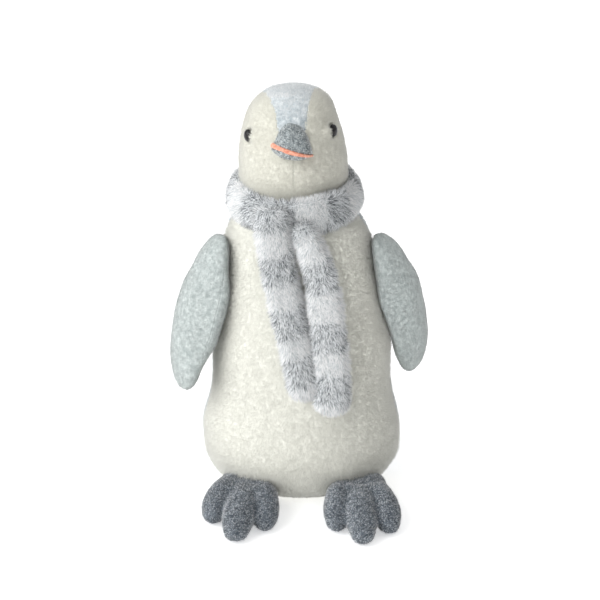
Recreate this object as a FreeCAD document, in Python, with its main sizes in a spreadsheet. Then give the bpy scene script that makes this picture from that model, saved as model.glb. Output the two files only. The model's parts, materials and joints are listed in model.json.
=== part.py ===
"""A plush penguin with a striped scarf, about 300 mm tall, in millimetres.

Frame: +Z up, the penguin faces -Y, and the origin is the centre of the flat base that it stands on.
Its own left is +X. Covers are plush panels with the pile counted in their thickness; inside them are
the fibre filling and a pouch of pellets. The head rides on a wad of filling in the neck.
"""
import FreeCAD, Part
import math
import os

from FreeCAD import Placement, Rotation, Vector

doc = FreeCAD.newDocument("PlushPenguin")
sheet = doc.addObject("Spreadsheet::Sheet", "Sizes")
X_AXIS, Y_AXIS, Z_AXIS = Vector(1, 0, 0), Vector(0, 1, 0), Vector(0, 0, 1)
SUBPARTS = []

# Level names from the bottom up: height, half width, half depth, and sideways shift of the lean.
TORSO_LEVELS = {
    "sole_line": (0, 50, 43, 0),
    "hem": (8, 63.5, 54, 0),
    "seat": (22, 70.5, 60, 0),
    "haunch": (38, 72.8, 61.5, 0),
    "thigh": (56, 70.2, 60.5, 0),
    "waist": (76, 66, 58, 0),
    "belly": (104, 65, 55, 0),
    "chest": (140, 59.5, 50, -0.7),
    "breast": (172, 54.5, 45.5, -1.7),
    "shoulder": (194, 51, 42, -2.8),
    "collar": (204, 47, 39, -3.8),
    "throat": (209, 40.5, 34.5, -4.4),
    "neckline": (211, 33, 28.5, -4.6),
}
# The same for the head, measured from the point that it nods and turns about.
HEAD_LEVELS = {
    "jaw_floor": (-17, 29, 29, 0),
    "jaw": (-12, 34.6, 34.4, 0),
    "jowl": (-3, 37.6, 37.4, 0),
    "cheek": (9, 38.4, 38.2, 0),
    "temple": (25, 36.6, 36.4, 0),
    "brow": (40, 32.6, 32.4, 0),
    "forehead": (52, 26.2, 26, 0),
    "crown": (59, 17.6, 17.5, 0),
    "poll": (62.5, 7, 6.9, 0),
}
# A flipper hangs from its shoulder: distance down, half width, half thickness, offset outward.
FLIPPER_LEVELS = {
    "root": (0, 8, 3.6, 4.2),
    "cap": (6, 13, 6.6, 6.6),
    "upper": (15, 16.5, 8.8, 8.6),
    "elbow": (35, 19.5, 11, 10.8),
    "middle": (65, 20.5, 12, 12),
    "blade": (92, 18, 10.2, 11),
    "taper": (110, 13.5, 7.2, 9.2),
    "round": (119, 8.5, 4.6, 8),
    "tip": (123, 3.6, 2, 7.4),
}
# The beak, forward from the head's axis: distance, half width, half height.
BEAK_LEVELS = {
    "beak_root": (27, 15, 12.6),
    "beak_face": (37, 13.6, 11.2),
    "beak_middle": (46, 10, 8.4),
    "beak_front": (53, 6, 5.2),
    "beak_tip": (57.5, 1.8, 1.6),
}
# Each scarf tail lies on the front of the body: height, sideways place, distance forward.
TAIL_LEVELS = {
    "right": {"start": (199, -18, 46), "second": (172, -15.5, 50.3), "third": (142, -11.5, 54.8),
              "fourth": (112, -5, 59.4), "end": (90, 0, 62.2)},
    "left": {"start": (199, 5, 46), "second": (172, 12.5, 49.8), "third": (142, 17.5, 53.6),
             "fourth": (108, 21, 57.6), "end": (81, 22.5, 60.2)},
}
DRIVING = {
    "cover": (2.5, "thickness of the body plush with its pile"),
    "thin_cover": (1.8, "thickness of the short-pile cloth of flippers, feet and beak"),
    "seam_gap": (0.3, "clearance left between a cover and its filling"),
    "side_seam": (-2, "where the side seam between front and back lies along Y"),
    "base_seam": (4, "height of the seam round the base panel"),
    "neck_pivot_height": (236, "height of the point that the head nods and turns about"),
    "neck_pivot_shift": (-5.5, "sideways place of that point"),
    "head_roll": (3.5, "degrees that the head leans towards the penguin's right"),
    "neck_hole": (18.5, "radius of the opening under the head"),
    "neck_stem": (13, "radius of the filling that rises through the neck"),
    "neck_stem_top": (223.5, "height of the top of that filling"),
    "neck_ball": (11, "radius of the wad that the head turns on"),
    "blaze_front": (34.3, "how far forward the grey blaze starts above the beak"),
    "blaze_half_width": (9.5, "half width of the blaze at the beak"),
    "blaze_back": (-16, "where the edge of the blaze reaches the side of the head"),
    "eye_dome": (4.4, "radius of an eye"),
    "eye_height": (33, "height of the eyes above the neck pivot"),
    "eye_angle": (59, "degrees from straight ahead to an eye"),
    "eye_reach": (34.1, "distance from the head's axis to the back of an eye"),
    "beak_height": (31, "height of the beak's axis above the neck pivot"),
    "beak_roll": (12, "degrees that the beak is sewn off level"),
    "mouth_drop": (4.6, "how far the mouth lies below the beak's axis"),
    "mouth_open": (1.9, "thickness of the mouth strip"),
    "shoulder_height": (190, "height of the shoulder hinge"),
    "shoulder_middle": (-0.8, "sideways place of the point midway between the shoulder hinges"),
    "shoulder_half_span": (55.4, "half the distance between the shoulder hinges"),
    "shoulder_forward": (7, "distance of the shoulder hinge in front of the body's axis"),
    "flipper_splay": (12.5, "degrees that a flipper leans out from the body"),
    "flipper_turn": (35, "degrees that a flipper's broad face turns to the front"),
    "ankle_forward": (63.5, "distance of the ankle hinge in front of the body's axis"),
    "ankle_height": (14, "height of the ankle hinge"),
    "ankle_half_span": (41, "half the distance between the ankles"),
    "sole_clearance": (0.4, "height of the soles above the base, so that the base carries the weight"),
    "toe_length": (30, "half length of the middle toe"),
    "toe_half_width": (12.4, "half width of the middle toe"),
    "side_toe_length": (21.5, "half length of an outer toe"),
    "side_toe_half_width": (11, "half width of an outer toe"),
    "side_toe_spacing": (16.3, "distance from the middle toe to an outer toe"),
    "toe_half_height": (10.6, "half thickness of a toe"),
    "toe_drop": (2.6, "how far the toes' middles lie below the ankle hinge"),
    "toe_slope": (4, "degrees that the toes slope down to the front"),
    "heel_radius": (13.4, "radius of the heel about the ankle hinge"),
    "heel_half_width": (23, "half width of the heel"),
    "heel_shift": (3, "how far the heel is set outward of the ankle"),
    "scarf_inner": (42, "inner radius of the scarf where it circles the neck"),
    "scarf_outer": (48.8, "outer radius of the scarf there"),
    "scarf_half_height": (12, "half the height of the scarf there"),
    "scarf_height": (223, "height of the middle of the scarf"),
    "scarf_tilt": (7, "degrees that the scarf drops to the front"),
    "tail_half_width": (10.4, "half width of a scarf tail without its pile"),
    "tail_half_thickness": (4.6, "half thickness of a scarf tail without its pile"),
    "pouch_half_width": (42, "half width of the pellet pouch"),
    "pouch_half_depth": (36, "half depth of the pellet pouch"),
    "pouch_half_height": (11, "half height of the pellet pouch"),
    "pouch_cloth": (0.8, "thickness of the pouch's cloth"),
}


def fill_sheet():
    """Writes every driving size into the sheet, each with a note and an alias."""
    rows = [(alias, number, note) for alias, (number, note) in DRIVING.items()]
    for group, names in ((TORSO_LEVELS, ("up", "half_width", "half_depth", "shift")),
                         (HEAD_LEVELS, ("up", "half_width", "half_depth", "shift")),
                         (FLIPPER_LEVELS, ("down", "half_width", "half_thick", "offset")),
                         (BEAK_LEVELS, ("forward", "half_width", "half_up"))):
        for level, numbers in group.items():
            rows += [(f"{level}_{n}", v, f"{level}: {n}") for n, v in zip(names, numbers)]
    for side, levels in TAIL_LEVELS.items():
        for level, numbers in levels.items():
            for n, v in zip(("up", "across", "forward"), numbers):
                rows.append((f"{side}_tail_{level}_{n}", v, f"{side} tail {level}: {n}"))
    for row, (alias, number, note) in enumerate(rows, start=1):
        sheet.set(f"A{row}", note)
        sheet.set(f"B{row}", str(number))
        sheet.setAlias(f"B{row}", alias)
    doc.recompute()


def size(alias):
    return float(sheet.get(alias))


def cell(alias):
    return f"Sizes.{alias}"


def bind(obj, **expressions):
    """Binds properties to sheet expressions; two underscores stand for a dot."""
    for name, expression in expressions.items():
        obj.setExpression(name.replace("__", "."), expression)
    return obj


def add(kind, name, **expressions):
    return bind(doc.addObject(kind, name), **expressions)


def section(name, across, deep, x="0", y="0", z="0", upright=False):
    """An ellipse to loft through: level by default, or upright and facing along Y."""
    ring = add("Part::Ellipse", name, MajorRadius=across, MinorRadius=deep)
    if upright:
        ring.Placement = Placement(Vector(), Rotation(X_AXIS, 90))
    return bind(ring, Placement__Base__x=x, Placement__Base__y=y, Placement__Base__z=z)


def loft(name, sections):
    solid = doc.addObject("Part::Loft", name)
    solid.Sections = sections
    solid.Solid = True
    solid.Ruled = False
    return solid


def boolean(kind, name, base, tool):
    made = doc.addObject(kind, name)
    made.Base, made.Tool = base, tool
    return made


def cut(name, base, tool):
    return boolean("Part::Cut", name, base, tool)


def common(name, base, tool):
    return boolean("Part::Common", name, base, tool)


def fuse(name, shapes):
    made = doc.addObject("Part::MultiFuse", name)
    made.Shapes = shapes
    return made


def slab(name, low, high, placement=None):
    """A block between two corners, each given as three sheet expressions."""
    block = add("Part::Box", name,
                Length=f"({high[0]}) - ({low[0]})",
                Width=f"({high[1]}) - ({low[1]})",
                Height=f"({high[2]}) - ({low[2]})")
    bind(block, Placement__Base__x=low[0], Placement__Base__y=low[1], Placement__Base__z=low[2])
    if placement is not None:
        doc.recompute()
        corner = block.Placement
        for axis in "xyz":
            block.setExpression(f"Placement.Base.{axis}", None)
        block.Placement = placement.multiply(corner)
    return block


def publish(obj, node, placement=None):
    """Gives the finished sub-part its name and puts it in place."""
    obj.Label = node
    if placement is not None:
        obj.Placement = placement.multiply(obj.Placement)
    SUBPARTS.append(obj)
    return obj


def torso_form(name, inset):
    """The body's pear shape, drawn in by inset on every side."""
    rings = []
    last = len(TORSO_LEVELS) - 1
    for i, level in enumerate(TORSO_LEVELS):
        up = cell(f"{level}_up") + (f" + {inset}" if i == 0 else f" - {inset}" if i == last else "")
        rings.append(section(f"{name}_{level}", f"{cell(level + '_half_width')} - {inset}",
                             f"{cell(level + '_half_depth')} - {inset}",
                             x=cell(f"{level}_shift"), z=up))
    return loft(name, rings)


def head_form(name, inset):
    """The head's dome, drawn in by inset on every side and standing on the neck pivot."""
    rings = []
    last = len(HEAD_LEVELS) - 1
    for i, level in enumerate(HEAD_LEVELS):
        up = cell(f"{level}_up") + (f" + {inset}" if i == 0 else f" - {inset}" if i == last else "")
        rings.append(section(f"{name}_{level}", f"{cell(level + '_half_width')} - {inset}",
                             f"{cell(level + '_half_depth')} - {inset}", z=up))
    return loft(name, rings)


def build_torso():
    """Front, back and base panels, the filling, the stem of the neck, and the pellet pouch."""
    far = "200"
    inside = torso_form("torso_inner", cell("cover"))
    shell = cut("torso_shell", torso_form("torso_outer", "0"), inside)
    base_seam, side_seam = cell("base_seam"), cell("side_seam")
    front = slab("front_space", (f"-{far}", f"-{far}", base_seam), (far, side_seam, far + " + 50"))
    back = slab("back_space", (f"-{far}", side_seam, base_seam), (far, far, far + " + 50"))
    base = slab("base_space", (f"-{far}", f"-{far}", "-10"), (far, far, base_seam))
    neck_opening = add("Part::Cylinder", "neck_opening", Radius=f"{cell('neck_stem')} + {cell('seam_gap')}",
                       Height="60", Placement__Base__x=cell("neck_pivot_shift"), Placement__Base__z="190")
    open_shell = cut("open_shell", shell, neck_opening)
    publish(common("body_front", open_shell, front), "body_front_panel")
    publish(common("body_back", open_shell, back), "body_back_panel")
    publish(common("body_base", shell, base), "body_base_panel")

    stem = add("Part::Cylinder", "neck_stem_form", Radius=cell("neck_stem"),
               Height=f"{cell('neck_stem_top')} - 200",
               Placement__Base__x=cell("neck_pivot_shift"), Placement__Base__z="200")
    publish(cut("neck_stem_over_filling", stem, inside), "neck_stem")
    filling = torso_form("filling_form", f"({cell('cover')} + {cell('seam_gap')})")
    pouch_up = f"{cell('cover')} + {cell('seam_gap')} + {cell('pouch_half_height')} + 4"
    pouch = pouch_form("pouch_outer", "0", pouch_up)
    pouch_room = pouch_form("pouch_room", f"-{cell('seam_gap')}", pouch_up)
    pouch_inside = pouch_form("pouch_inside", cell("pouch_cloth"), pouch_up)
    pellets = pouch_form("pellets_form", f"{cell('pouch_cloth')} + {cell('seam_gap')}", pouch_up)
    publish(cut("filling", filling, pouch_room), "body_filling")
    publish(cut("pouch", pouch, pouch_inside), "pellet_pouch")
    publish(pellets, "pellets")


def pouch_form(name, inset, up):
    return add("Part::Ellipsoid", name, Radius1=f"{cell('pouch_half_height')} - ({inset})",
               Radius2=f"{cell('pouch_half_width')} - ({inset})",
               Radius3=f"{cell('pouch_half_depth')} - ({inset})", Placement__Base__z=up)


def head_pose():
    """Takes the head from its own frame, at the neck pivot, to its place on the body."""
    pivot = Vector(size("neck_pivot_shift"), 0, size("neck_pivot_height"))
    return Placement(pivot, Rotation(Y_AXIS, -size("head_roll")))


def blaze_space():
    """The upright wedge that divides the grey crown and nape from the two cheeks."""
    front, half, back = size("blaze_front"), size("blaze_half_width"), size("blaze_back")
    slope = (size("cheek_half_width") - half) / (front - back)
    far = -70.0
    wide = half + slope * (front - far)
    corners = [Vector(-half, -front, -60), Vector(half, -front, -60),
               Vector(wide, -far, -60), Vector(-wide, -far, -60)]
    prism = Part.Face(Part.makePolygon(corners + corners[:1])).extrude(Vector(0, 0, 160))
    chin = Part.makeBox(200, 100 - abs(back), 60 + size("temple_up"), Vector(-100, -100, -60))
    wedge = doc.addObject("Part::Feature", "blaze_space")
    wedge.Shape = prism.cut(chin)
    return wedge


def eye_place(side):
    """Where an eye sits on the head: +Z of the eye's own frame points out of the head."""
    angle = math.radians(size("eye_angle"))
    out = Vector(side * math.sin(angle), -math.cos(angle), 0)
    tilt = 8
    turn = Rotation(Vector(0, 0, 1), out)
    lift = Rotation(out.cross(Z_AXIS), tilt)
    place = out * size("eye_reach") + Vector(0, 0, size("eye_height"))
    return Placement(place, lift.multiply(turn))


def turned(name, outline, place):
    """A PartDesign body that revolves an outline of (radius, height) points about its own Z."""
    body = doc.addObject("PartDesign::Body", name)
    sketch = body.newObject("Sketcher::SketchObject", name + "_outline")
    plane = next(f for f in body.Origin.OriginFeatures if f.Role == "XZ_Plane")
    sketch.AttachmentSupport = [(plane, "")]
    sketch.MapMode = "FlatFace"
    points = [Vector(r, z, 0) for r, z in outline]
    for start, end in zip(points, points[1:] + points[:1]):
        sketch.addGeometry(Part.LineSegment(start, end))
    doc.recompute()
    revolution = body.newObject("PartDesign::Revolution", name + "_turned")
    revolution.Profile = sketch
    revolution.ReferenceAxis = (sketch, ["V_Axis"])
    revolution.Angle = 360
    doc.recompute()
    body.Placement = place
    return body


def eye_outline(dome, post, stem_depth, steps=6):
    """Half the section of an eye: a domed button with a post behind it."""
    height = 0.62 * dome
    rim = [(dome * math.cos(a), height * math.sin(a))
           for a in (math.radians(90 * i / steps) for i in range(steps + 1))]
    rim[-1] = (0, height)
    return [(0, -stem_depth), (post, -stem_depth), (post, 0)] + rim


def build_head():
    """Two cheeks, the crown and nape, the filling, eyes with washers, and the beak."""
    pose = head_pose()
    outer = head_form("head_outer", "0")
    shell = cut("head_shell", outer, head_form("head_inner", cell("cover")))
    hole = add("Part::Cylinder", "neck_hole_form", Radius=cell("neck_hole"), Height="20",
               Placement__Base__z=f"{cell('jaw_floor_up')} - 8")
    shell = cut("head_shell_open", shell, hole)
    blaze = blaze_space()
    publish(common("crown", shell, blaze), "head_crown_panel", pose)
    cheeks = cut("cheeks", shell, blaze)
    room = head_form("head_filling_form", f"({cell('cover')} + {cell('seam_gap')})")
    room = cut("head_filling_open", room, hole)
    ball_room = add("Part::Sphere", "ball_room", Radius=f"{cell('neck_ball')} + {cell('seam_gap')}")
    room = cut("head_filling_ball", room, ball_room)
    dome, post, depth = size("eye_dome"), 1.5, 8.0
    for side, name in ((1, "left"), (-1, "right")):
        place = eye_place(side)
        seat = turned(f"eye_seat_{name}", [(0, -depth - 3), (post + 0.2, -depth - 3), (post + 0.2, -0.02),
                                           (dome + 0.2, -0.02), (dome + 0.2, 6), (0, 6)], place)
        half = slab(f"{name}_half", ("0" if side > 0 else "-90", "-90", "-60"),
                    ("90" if side > 0 else "0", "90", "90"))
        cheek = common(f"cheek_{name}_blank", cheeks, half)
        publish(cut(f"cheek_{name}", cheek, seat), f"head_{name}_cheek_panel", pose)
        pocket = turned(f"washer_pocket_{name}", [(0, -depth - 1), (6, -depth - 1), (6, 0), (0, 0)], place)
        room = cut(f"head_filling_{name}", room, pocket)
        publish(turned(f"eye_{name}_form", eye_outline(dome, post, depth), place), f"eye_{name}", pose)
        washer = [(post + 0.05, -5.4), (5.4, -5.0), (5.4, -4.2), (post + 0.05, -4.2)]
        publish(turned(f"washer_{name}_form", washer, place), f"eye_{name}_washer", pose)
    publish(room, "head_filling", pose)
    build_beak(outer, pose)


def beak_form(name, inset, place):
    rings = []
    for level in BEAK_LEVELS:
        forward = f"-({cell(level + '_forward')} - {inset} * 0.9)"
        rings.append(section(f"{name}_{level}",
                             f"max(0.8; {cell(level + '_half_width')} - {inset})",
                             f"max(0.7; {cell(level + '_half_up')} - {inset})",
                             y=forward, upright=True))
    form = loft(name, rings)
    form.Placement = place
    return form


def build_beak(head, pose):
    """Upper and lower beak covers with the coloured mouth strip between them, and the filling."""
    place = Placement(Vector(0, 0, size("beak_height")), Rotation(Y_AXIS, size("beak_roll")))
    outer = cut("beak_outer", beak_form("beak_whole", "0", place), head)
    core = cut("beak_core", beak_form("beak_inside", cell("thin_cover"), place), head)
    shell = cut("beak_shell", outer, core)
    top = size("mouth_open") / 2 - size("mouth_drop")
    bottom = -size("mouth_open") / 2 - size("mouth_drop")
    for name, low, high, node in (("upper", top, 40, "beak_upper_cover"),
                                  ("mouth", bottom, top, "mouth_strip"),
                                  ("lower", -40, bottom, "beak_lower_cover")):
        space = slab(f"beak_{name}_space", ("-40", "-90", str(low)), ("40", "0", str(high)), place)
        publish(common(f"beak_{name}", shell, space), node, pose)
    filling = cut("beak_filling_form",
                  beak_form("beak_filling_whole", f"({cell('thin_cover')} + {cell('seam_gap')})", place), head)
    publish(filling, "beak_filling", pose)


def build_neck():
    """The wad of filling that the head turns and nods on."""
    ball = add("Part::Sphere", "neck_wad_form", Radius=cell("neck_ball"))
    publish(ball, "neck_wad", head_pose())


def flipper_form(name, inset):
    """A flipper hanging down from the shoulder, its outer face towards +Y."""
    rings = []
    last = len(FLIPPER_LEVELS) - 1
    for i, level in enumerate(FLIPPER_LEVELS):
        down = cell(f"{level}_down") + (f" + {inset}" if i == 0 else f" - {inset}" if i == last else "")
        rings.append(section(f"{name}_{level}",
                             f"max(1; {cell(level + '_half_width')} - {inset})",
                             f"max(0.8; {cell(level + '_half_thick')} - {inset})",
                             y=cell(f"{level}_offset"), z=f"-({down})"))
    return loft(name, rings)


def shoulder_pose(side, swing):
    """Takes a flipper from its own frame to the shoulder on one side, swung to the front or back."""
    hinge = Vector(side * size("shoulder_half_span") + size("shoulder_middle"), -size("shoulder_forward"),
                   size("shoulder_height"))
    facing = Rotation(Z_AXIS, -side * (90 + size("flipper_turn")))
    splay = Rotation(Y_AXIS, -side * size("flipper_splay"))
    forward = Rotation(X_AXIS, -swing)
    return Placement(hinge, forward.multiply(splay).multiply(facing))


def build_flipper(side, name, swing):
    """Outer and inner panels round a filling."""
    pose = shoulder_pose(side, swing)
    outer = flipper_form(f"flipper_{name}_outer", "0")
    shell = cut(f"flipper_{name}_shell", outer, flipper_form(f"flipper_{name}_inside", cell("thin_cover")))
    seam = cell("middle_offset")
    out_space = slab(f"flipper_{name}_out", ("-60", seam, "-160"), ("60", "80", "40"))
    in_space = slab(f"flipper_{name}_in", ("-60", "-80", "-160"), ("60", seam, "40"))
    publish(common(f"flipper_{name}_outside", shell, out_space), f"flipper_{name}_outer_panel", pose)
    publish(common(f"flipper_{name}_inward", shell, in_space), f"flipper_{name}_inner_panel", pose)
    filling = flipper_form(f"flipper_{name}_filling_form", f"({cell('thin_cover')} + {cell('seam_gap')})")
    publish(filling, f"flipper_{name}_filling", pose)


def pod(name, half_length, half_width, half_height, steps=3):
    """A plump rounded form lying along its own Y, lofted through upright ellipses."""
    rings = []
    for i in range(-steps, steps + 1):
        angle = math.radians(82 * i / steps)
        along, round_off = round(math.sin(angle), 4), round(math.cos(angle), 4)
        rings.append(section(f"{name}_{i + steps}", f"({half_width}) * {round_off}",
                             f"({half_height}) * {round_off}",
                             y=f"({half_length}) * {-along}", upright=True))
    return loft(name, rings)


def foot_form(name, inset, side):
    """Three plump toes and a heel, in a frame whose origin is the ankle hinge."""
    forms = []
    for toe_side, toe_name, width, length in ((0, "middle_toe", "toe_half_width", "toe_length"),
                                              (1, "left_toe", "side_toe_half_width", "side_toe_length"),
                                              (-1, "right_toe", "side_toe_half_width", "side_toe_length")):
        toe = pod(f"{name}_{toe_name}", f"{cell(length)} - {inset}", f"{cell(width)} - {inset}",
                  f"{cell('toe_half_height')} - {inset}")
        toe.Placement.Rotation = Rotation(Z_AXIS, toe_side * 6).multiply(Rotation(X_AXIS, size("toe_slope")))
        bind(toe, Placement__Base__x=f"{toe_side} * {cell('side_toe_spacing')}",
             Placement__Base__y=f"-({cell(length)} - 5)",
             Placement__Base__z=f"-{cell('toe_drop')}")
        forms.append(toe)
    heel = pod(f"{name}_heel", f"{cell('heel_half_width')} - {inset}", f"{cell('heel_radius')} - {inset}",
               f"{cell('heel_radius')} - {inset}")
    heel.Placement.Rotation = Rotation(Z_AXIS, 90)
    forms.append(bind(heel, Placement__Base__x=f"{side} * {cell('heel_shift')}"))
    whole = fuse(f"{name}_whole", forms)
    floor = f"{cell('sole_clearance')} - {cell('ankle_height')} + {inset}"
    above = slab(f"{name}_above", ("-60", "-90", floor), ("60", "60", "40"))
    return common(name, whole, above)


def build_foot(side, name, toe_out):
    """Top and sole panels round a filling, and the stitches that draw in the gaps between toes."""
    ankle = Vector(side * size("ankle_half_span"), -size("ankle_forward"), size("ankle_height"))
    pose = Placement(ankle, Rotation(Z_AXIS, side * toe_out))
    shell = cut(f"foot_{name}_shell", foot_form(f"foot_{name}_outer", "0", side),
                foot_form(f"foot_{name}_inside", cell("thin_cover"), side))
    seam = "-3"
    top = slab(f"foot_{name}_top_space", ("-60", "-90", seam), ("60", "60", "40"))
    under = slab(f"foot_{name}_sole_space", ("-60", "-90", "-40"), ("60", "60", seam))
    publish(common(f"foot_{name}_top", shell, top), f"foot_{name}_top_panel", pose)
    publish(common(f"foot_{name}_sole", shell, under), f"foot_{name}_sole_panel", pose)
    filling = foot_form(f"foot_{name}_filling_form", f"({cell('thin_cover')} + {cell('seam_gap')})", side)
    publish(filling, f"foot_{name}_filling", pose)


def build_scarf():
    """The loop round the neck and its two tails."""
    reach, half = cell("scarf_outer"), cell("scarf_half_height")
    outer = loft("scarf_loop_outer", [
        section("scarf_loop_low", f"{reach} - 2.5", f"{reach} - 2.8", z=f"-{half}"),
        section("scarf_loop_mid_low", reach, f"{reach} - 0.3", z=f"-{half} * 0.4"),
        section("scarf_loop_mid_high", reach, f"{reach} - 0.3", z=f"{half} * 0.4"),
        section("scarf_loop_high", f"{reach} - 2.5", f"{reach} - 2.8", z=half)])
    inner = add("Part::Cylinder", "scarf_loop_hole", Radius=cell("scarf_inner"), Height=f"3 * {half}",
                Placement__Base__z=f"-1.5 * {half}")
    tilt = Placement(Vector(size("neck_pivot_shift"), 0, size("scarf_height")),
                     Rotation(X_AXIS, size("scarf_tilt")))
    publish(cut("scarf_ring", outer, inner), "scarf_loop", tilt)
    for side, levels in TAIL_LEVELS.items():
        rings = [section(f"{side}_tail_{level}", cell("tail_half_width"), cell("tail_half_thickness"),
                         x=cell(f"{side}_tail_{level}_across"),
                         y=f"-{cell(f'{side}_tail_{level}_forward')}",
                         z=cell(f"{side}_tail_{level}_up")) for level in levels]
        publish(loft(f"scarf_tail_{side}_form", rings), f"scarf_{side}_tail")


def write_parts():
    """Stops on any object that failed or any sub-part that isn't a sound solid, then writes them all."""
    doc.recompute()
    failed = [o.Name for o in doc.Objects if any(s in o.State for s in ("Invalid", "Error"))]
    if failed:
        raise RuntimeError(f"objects failed: {failed}")
    os.makedirs("parts", exist_ok=True)
    for old in os.listdir("parts"):
        os.remove(os.path.join("parts", old))
    for obj in SUBPARTS:
        shape = obj.Shape
        if shape.isNull() or not shape.isValid() or not shape.Solids:
            raise RuntimeError(f"{obj.Label} is not a sound solid")
        shape.exportStep(os.path.join("parts", obj.Label + ".step"))
        print(f"{obj.Label}: {len(shape.Solids)} solid, {shape.Volume / 1000:.2f} cm3")


fill_sheet()
build_torso()
build_neck()
build_head()
build_flipper(1, "left", -13)
build_flipper(-1, "right", 6)
build_foot(1, "left", 2)
build_foot(-1, "right", 9)
build_scarf()
write_parts()
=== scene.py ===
"""Looks of the plush penguin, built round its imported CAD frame.

Each cover is wrapped round the CAD form, padded by cloth simulation and given a real pile: fibres are
small closed spikes, merged into a few meshes for each cover. Left and right are the penguin's own (+X left).
"""

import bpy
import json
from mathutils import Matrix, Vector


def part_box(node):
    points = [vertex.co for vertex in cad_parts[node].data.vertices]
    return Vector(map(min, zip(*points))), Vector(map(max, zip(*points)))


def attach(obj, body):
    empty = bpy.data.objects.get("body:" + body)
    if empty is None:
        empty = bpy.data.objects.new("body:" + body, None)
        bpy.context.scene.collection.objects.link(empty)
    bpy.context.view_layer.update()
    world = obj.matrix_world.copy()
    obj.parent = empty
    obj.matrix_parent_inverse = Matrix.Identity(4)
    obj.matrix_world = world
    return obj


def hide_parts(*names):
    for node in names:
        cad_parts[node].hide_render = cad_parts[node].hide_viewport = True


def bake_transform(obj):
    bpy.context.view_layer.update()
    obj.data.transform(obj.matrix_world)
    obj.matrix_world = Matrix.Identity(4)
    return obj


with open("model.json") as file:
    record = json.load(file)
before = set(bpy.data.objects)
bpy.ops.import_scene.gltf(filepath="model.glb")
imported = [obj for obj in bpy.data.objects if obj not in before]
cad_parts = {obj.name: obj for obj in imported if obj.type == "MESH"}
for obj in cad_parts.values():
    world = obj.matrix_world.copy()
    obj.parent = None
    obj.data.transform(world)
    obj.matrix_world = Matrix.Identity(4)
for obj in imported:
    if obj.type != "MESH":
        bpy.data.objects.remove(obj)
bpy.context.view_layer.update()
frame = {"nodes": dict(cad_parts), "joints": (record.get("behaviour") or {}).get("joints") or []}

import copy
import json
import math

import bmesh
import bpy
import numpy as np
from mathutils import Vector
from mathutils.bvhtree import BVHTree
from mathutils.kdtree import KDTree

MM = 0.001
NODES = frame["nodes"]
PIVOTS = {j["name"]: np.array(j.get("pos_m", (0, 0, 0)), float) for j in frame["joints"]}
UP = np.array((0.0, 0.0, 1.0))
FRONT = np.array((0.0, -1.0, 0.0))
SIDES = ("left", "right")
EYES = ("eye_left", "eye_right")
MOST_TRIANGLES = 190000  # in one mesh of pile
FIBRE_CORNERS = (0, 2.0944, 4.1888)  # where a fibre's three corners lie round it, in radians
FULLEST = 3.0  # pressure that pads the large covers
COVER = 1.2 * MM  # thickness of the body's and head's covers
THIN_COVER = 1.0 * MM  # thickness of the flippers' and feet's covers


# ---------------------------------------------------------------- small maths

def unit(v):
    """Vectors made one long; works on one vector or on rows of them."""
    v = np.asarray(v, float)
    return v / np.maximum(np.linalg.norm(v, axis=-1, keepdims=True), 1e-12)


def smoothstep(low, high, value):
    """Goes smoothly from 0 at low to 1 at high."""
    x = np.clip((np.asarray(value, float) - low) / (high - low), 0, 1)
    return x * x * (3 - 2 * x)


def bump(value, middle, half_width):
    """A soft hill that is 1 at the middle and nearly 0 past two half widths."""
    return np.exp(-((np.asarray(value, float) - middle) / half_width) ** 2)


def waves(points, size, seed, octaves=5):
    """Smooth noise between about -1 and 1 with features of the given size."""
    rng = np.random.default_rng(seed)
    total = np.zeros(len(points))
    for _ in range(octaves * 3):
        direction = unit(rng.normal(size=3))
        turns = 2 * np.pi / (size * rng.uniform(0.6, 1.7))
        total += np.sin(points @ direction * turns + rng.uniform(0, 2 * np.pi))
    return total / math.sqrt(octaves * 3 * 0.5) * 0.6


def near(points, places, half_width):
    """For each point, a soft hill round each of the places, added up."""
    return sum(bump(np.linalg.norm(points - place, axis=1), 0, half_width) for place in places)


def box_middle(node):
    low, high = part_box(node)
    return (np.array(low) + np.array(high)) / 2


# ---------------------------------------------------------------- meshes

def in_scene(name, data):
    """A new object in the scene, made of a mesh, a light or a camera."""
    obj = bpy.data.objects.new(name, data)
    bpy.context.scene.collection.objects.link(obj)
    return obj


def add_mesh(name, points, faces):
    mesh = bpy.data.meshes.new(name)
    mesh.from_pydata([tuple(p) for p in points], [], faces)
    mesh.validate()
    mesh.shade_smooth()
    return in_scene(name, mesh)


def face_out(obj):
    """Turns the faces of a closed mesh so that they all look outward."""
    made = bmesh.new()
    made.from_mesh(obj.data)
    bmesh.ops.recalc_face_normals(made, faces=made.faces)
    made.to_mesh(obj.data)
    made.free()
    return obj


def get_points(mesh, value="co"):
    flat = np.empty(len(mesh.vertices) * 3)
    mesh.vertices.foreach_get(value, flat)
    return flat.reshape(-1, 3)


def set_points(mesh, points):
    mesh.vertices.foreach_set("co", np.asarray(points, float).ravel())
    mesh.update()


def get_normals(mesh):
    return get_points(mesh, "normal")


def form_of(*nodes):
    """A ray-casting form made of these CAD nodes together."""
    points, faces = [], []
    for node in nodes:
        mesh = NODES[node].data
        mesh.calc_loop_triangles()
        start = len(points)
        points += [tuple(NODES[node].matrix_world @ v.co) for v in mesh.vertices]
        faces += [tuple(start + i for i in t.vertices) for t in mesh.loop_triangles]
    return BVHTree.FromPolygons(points, faces)


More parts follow.
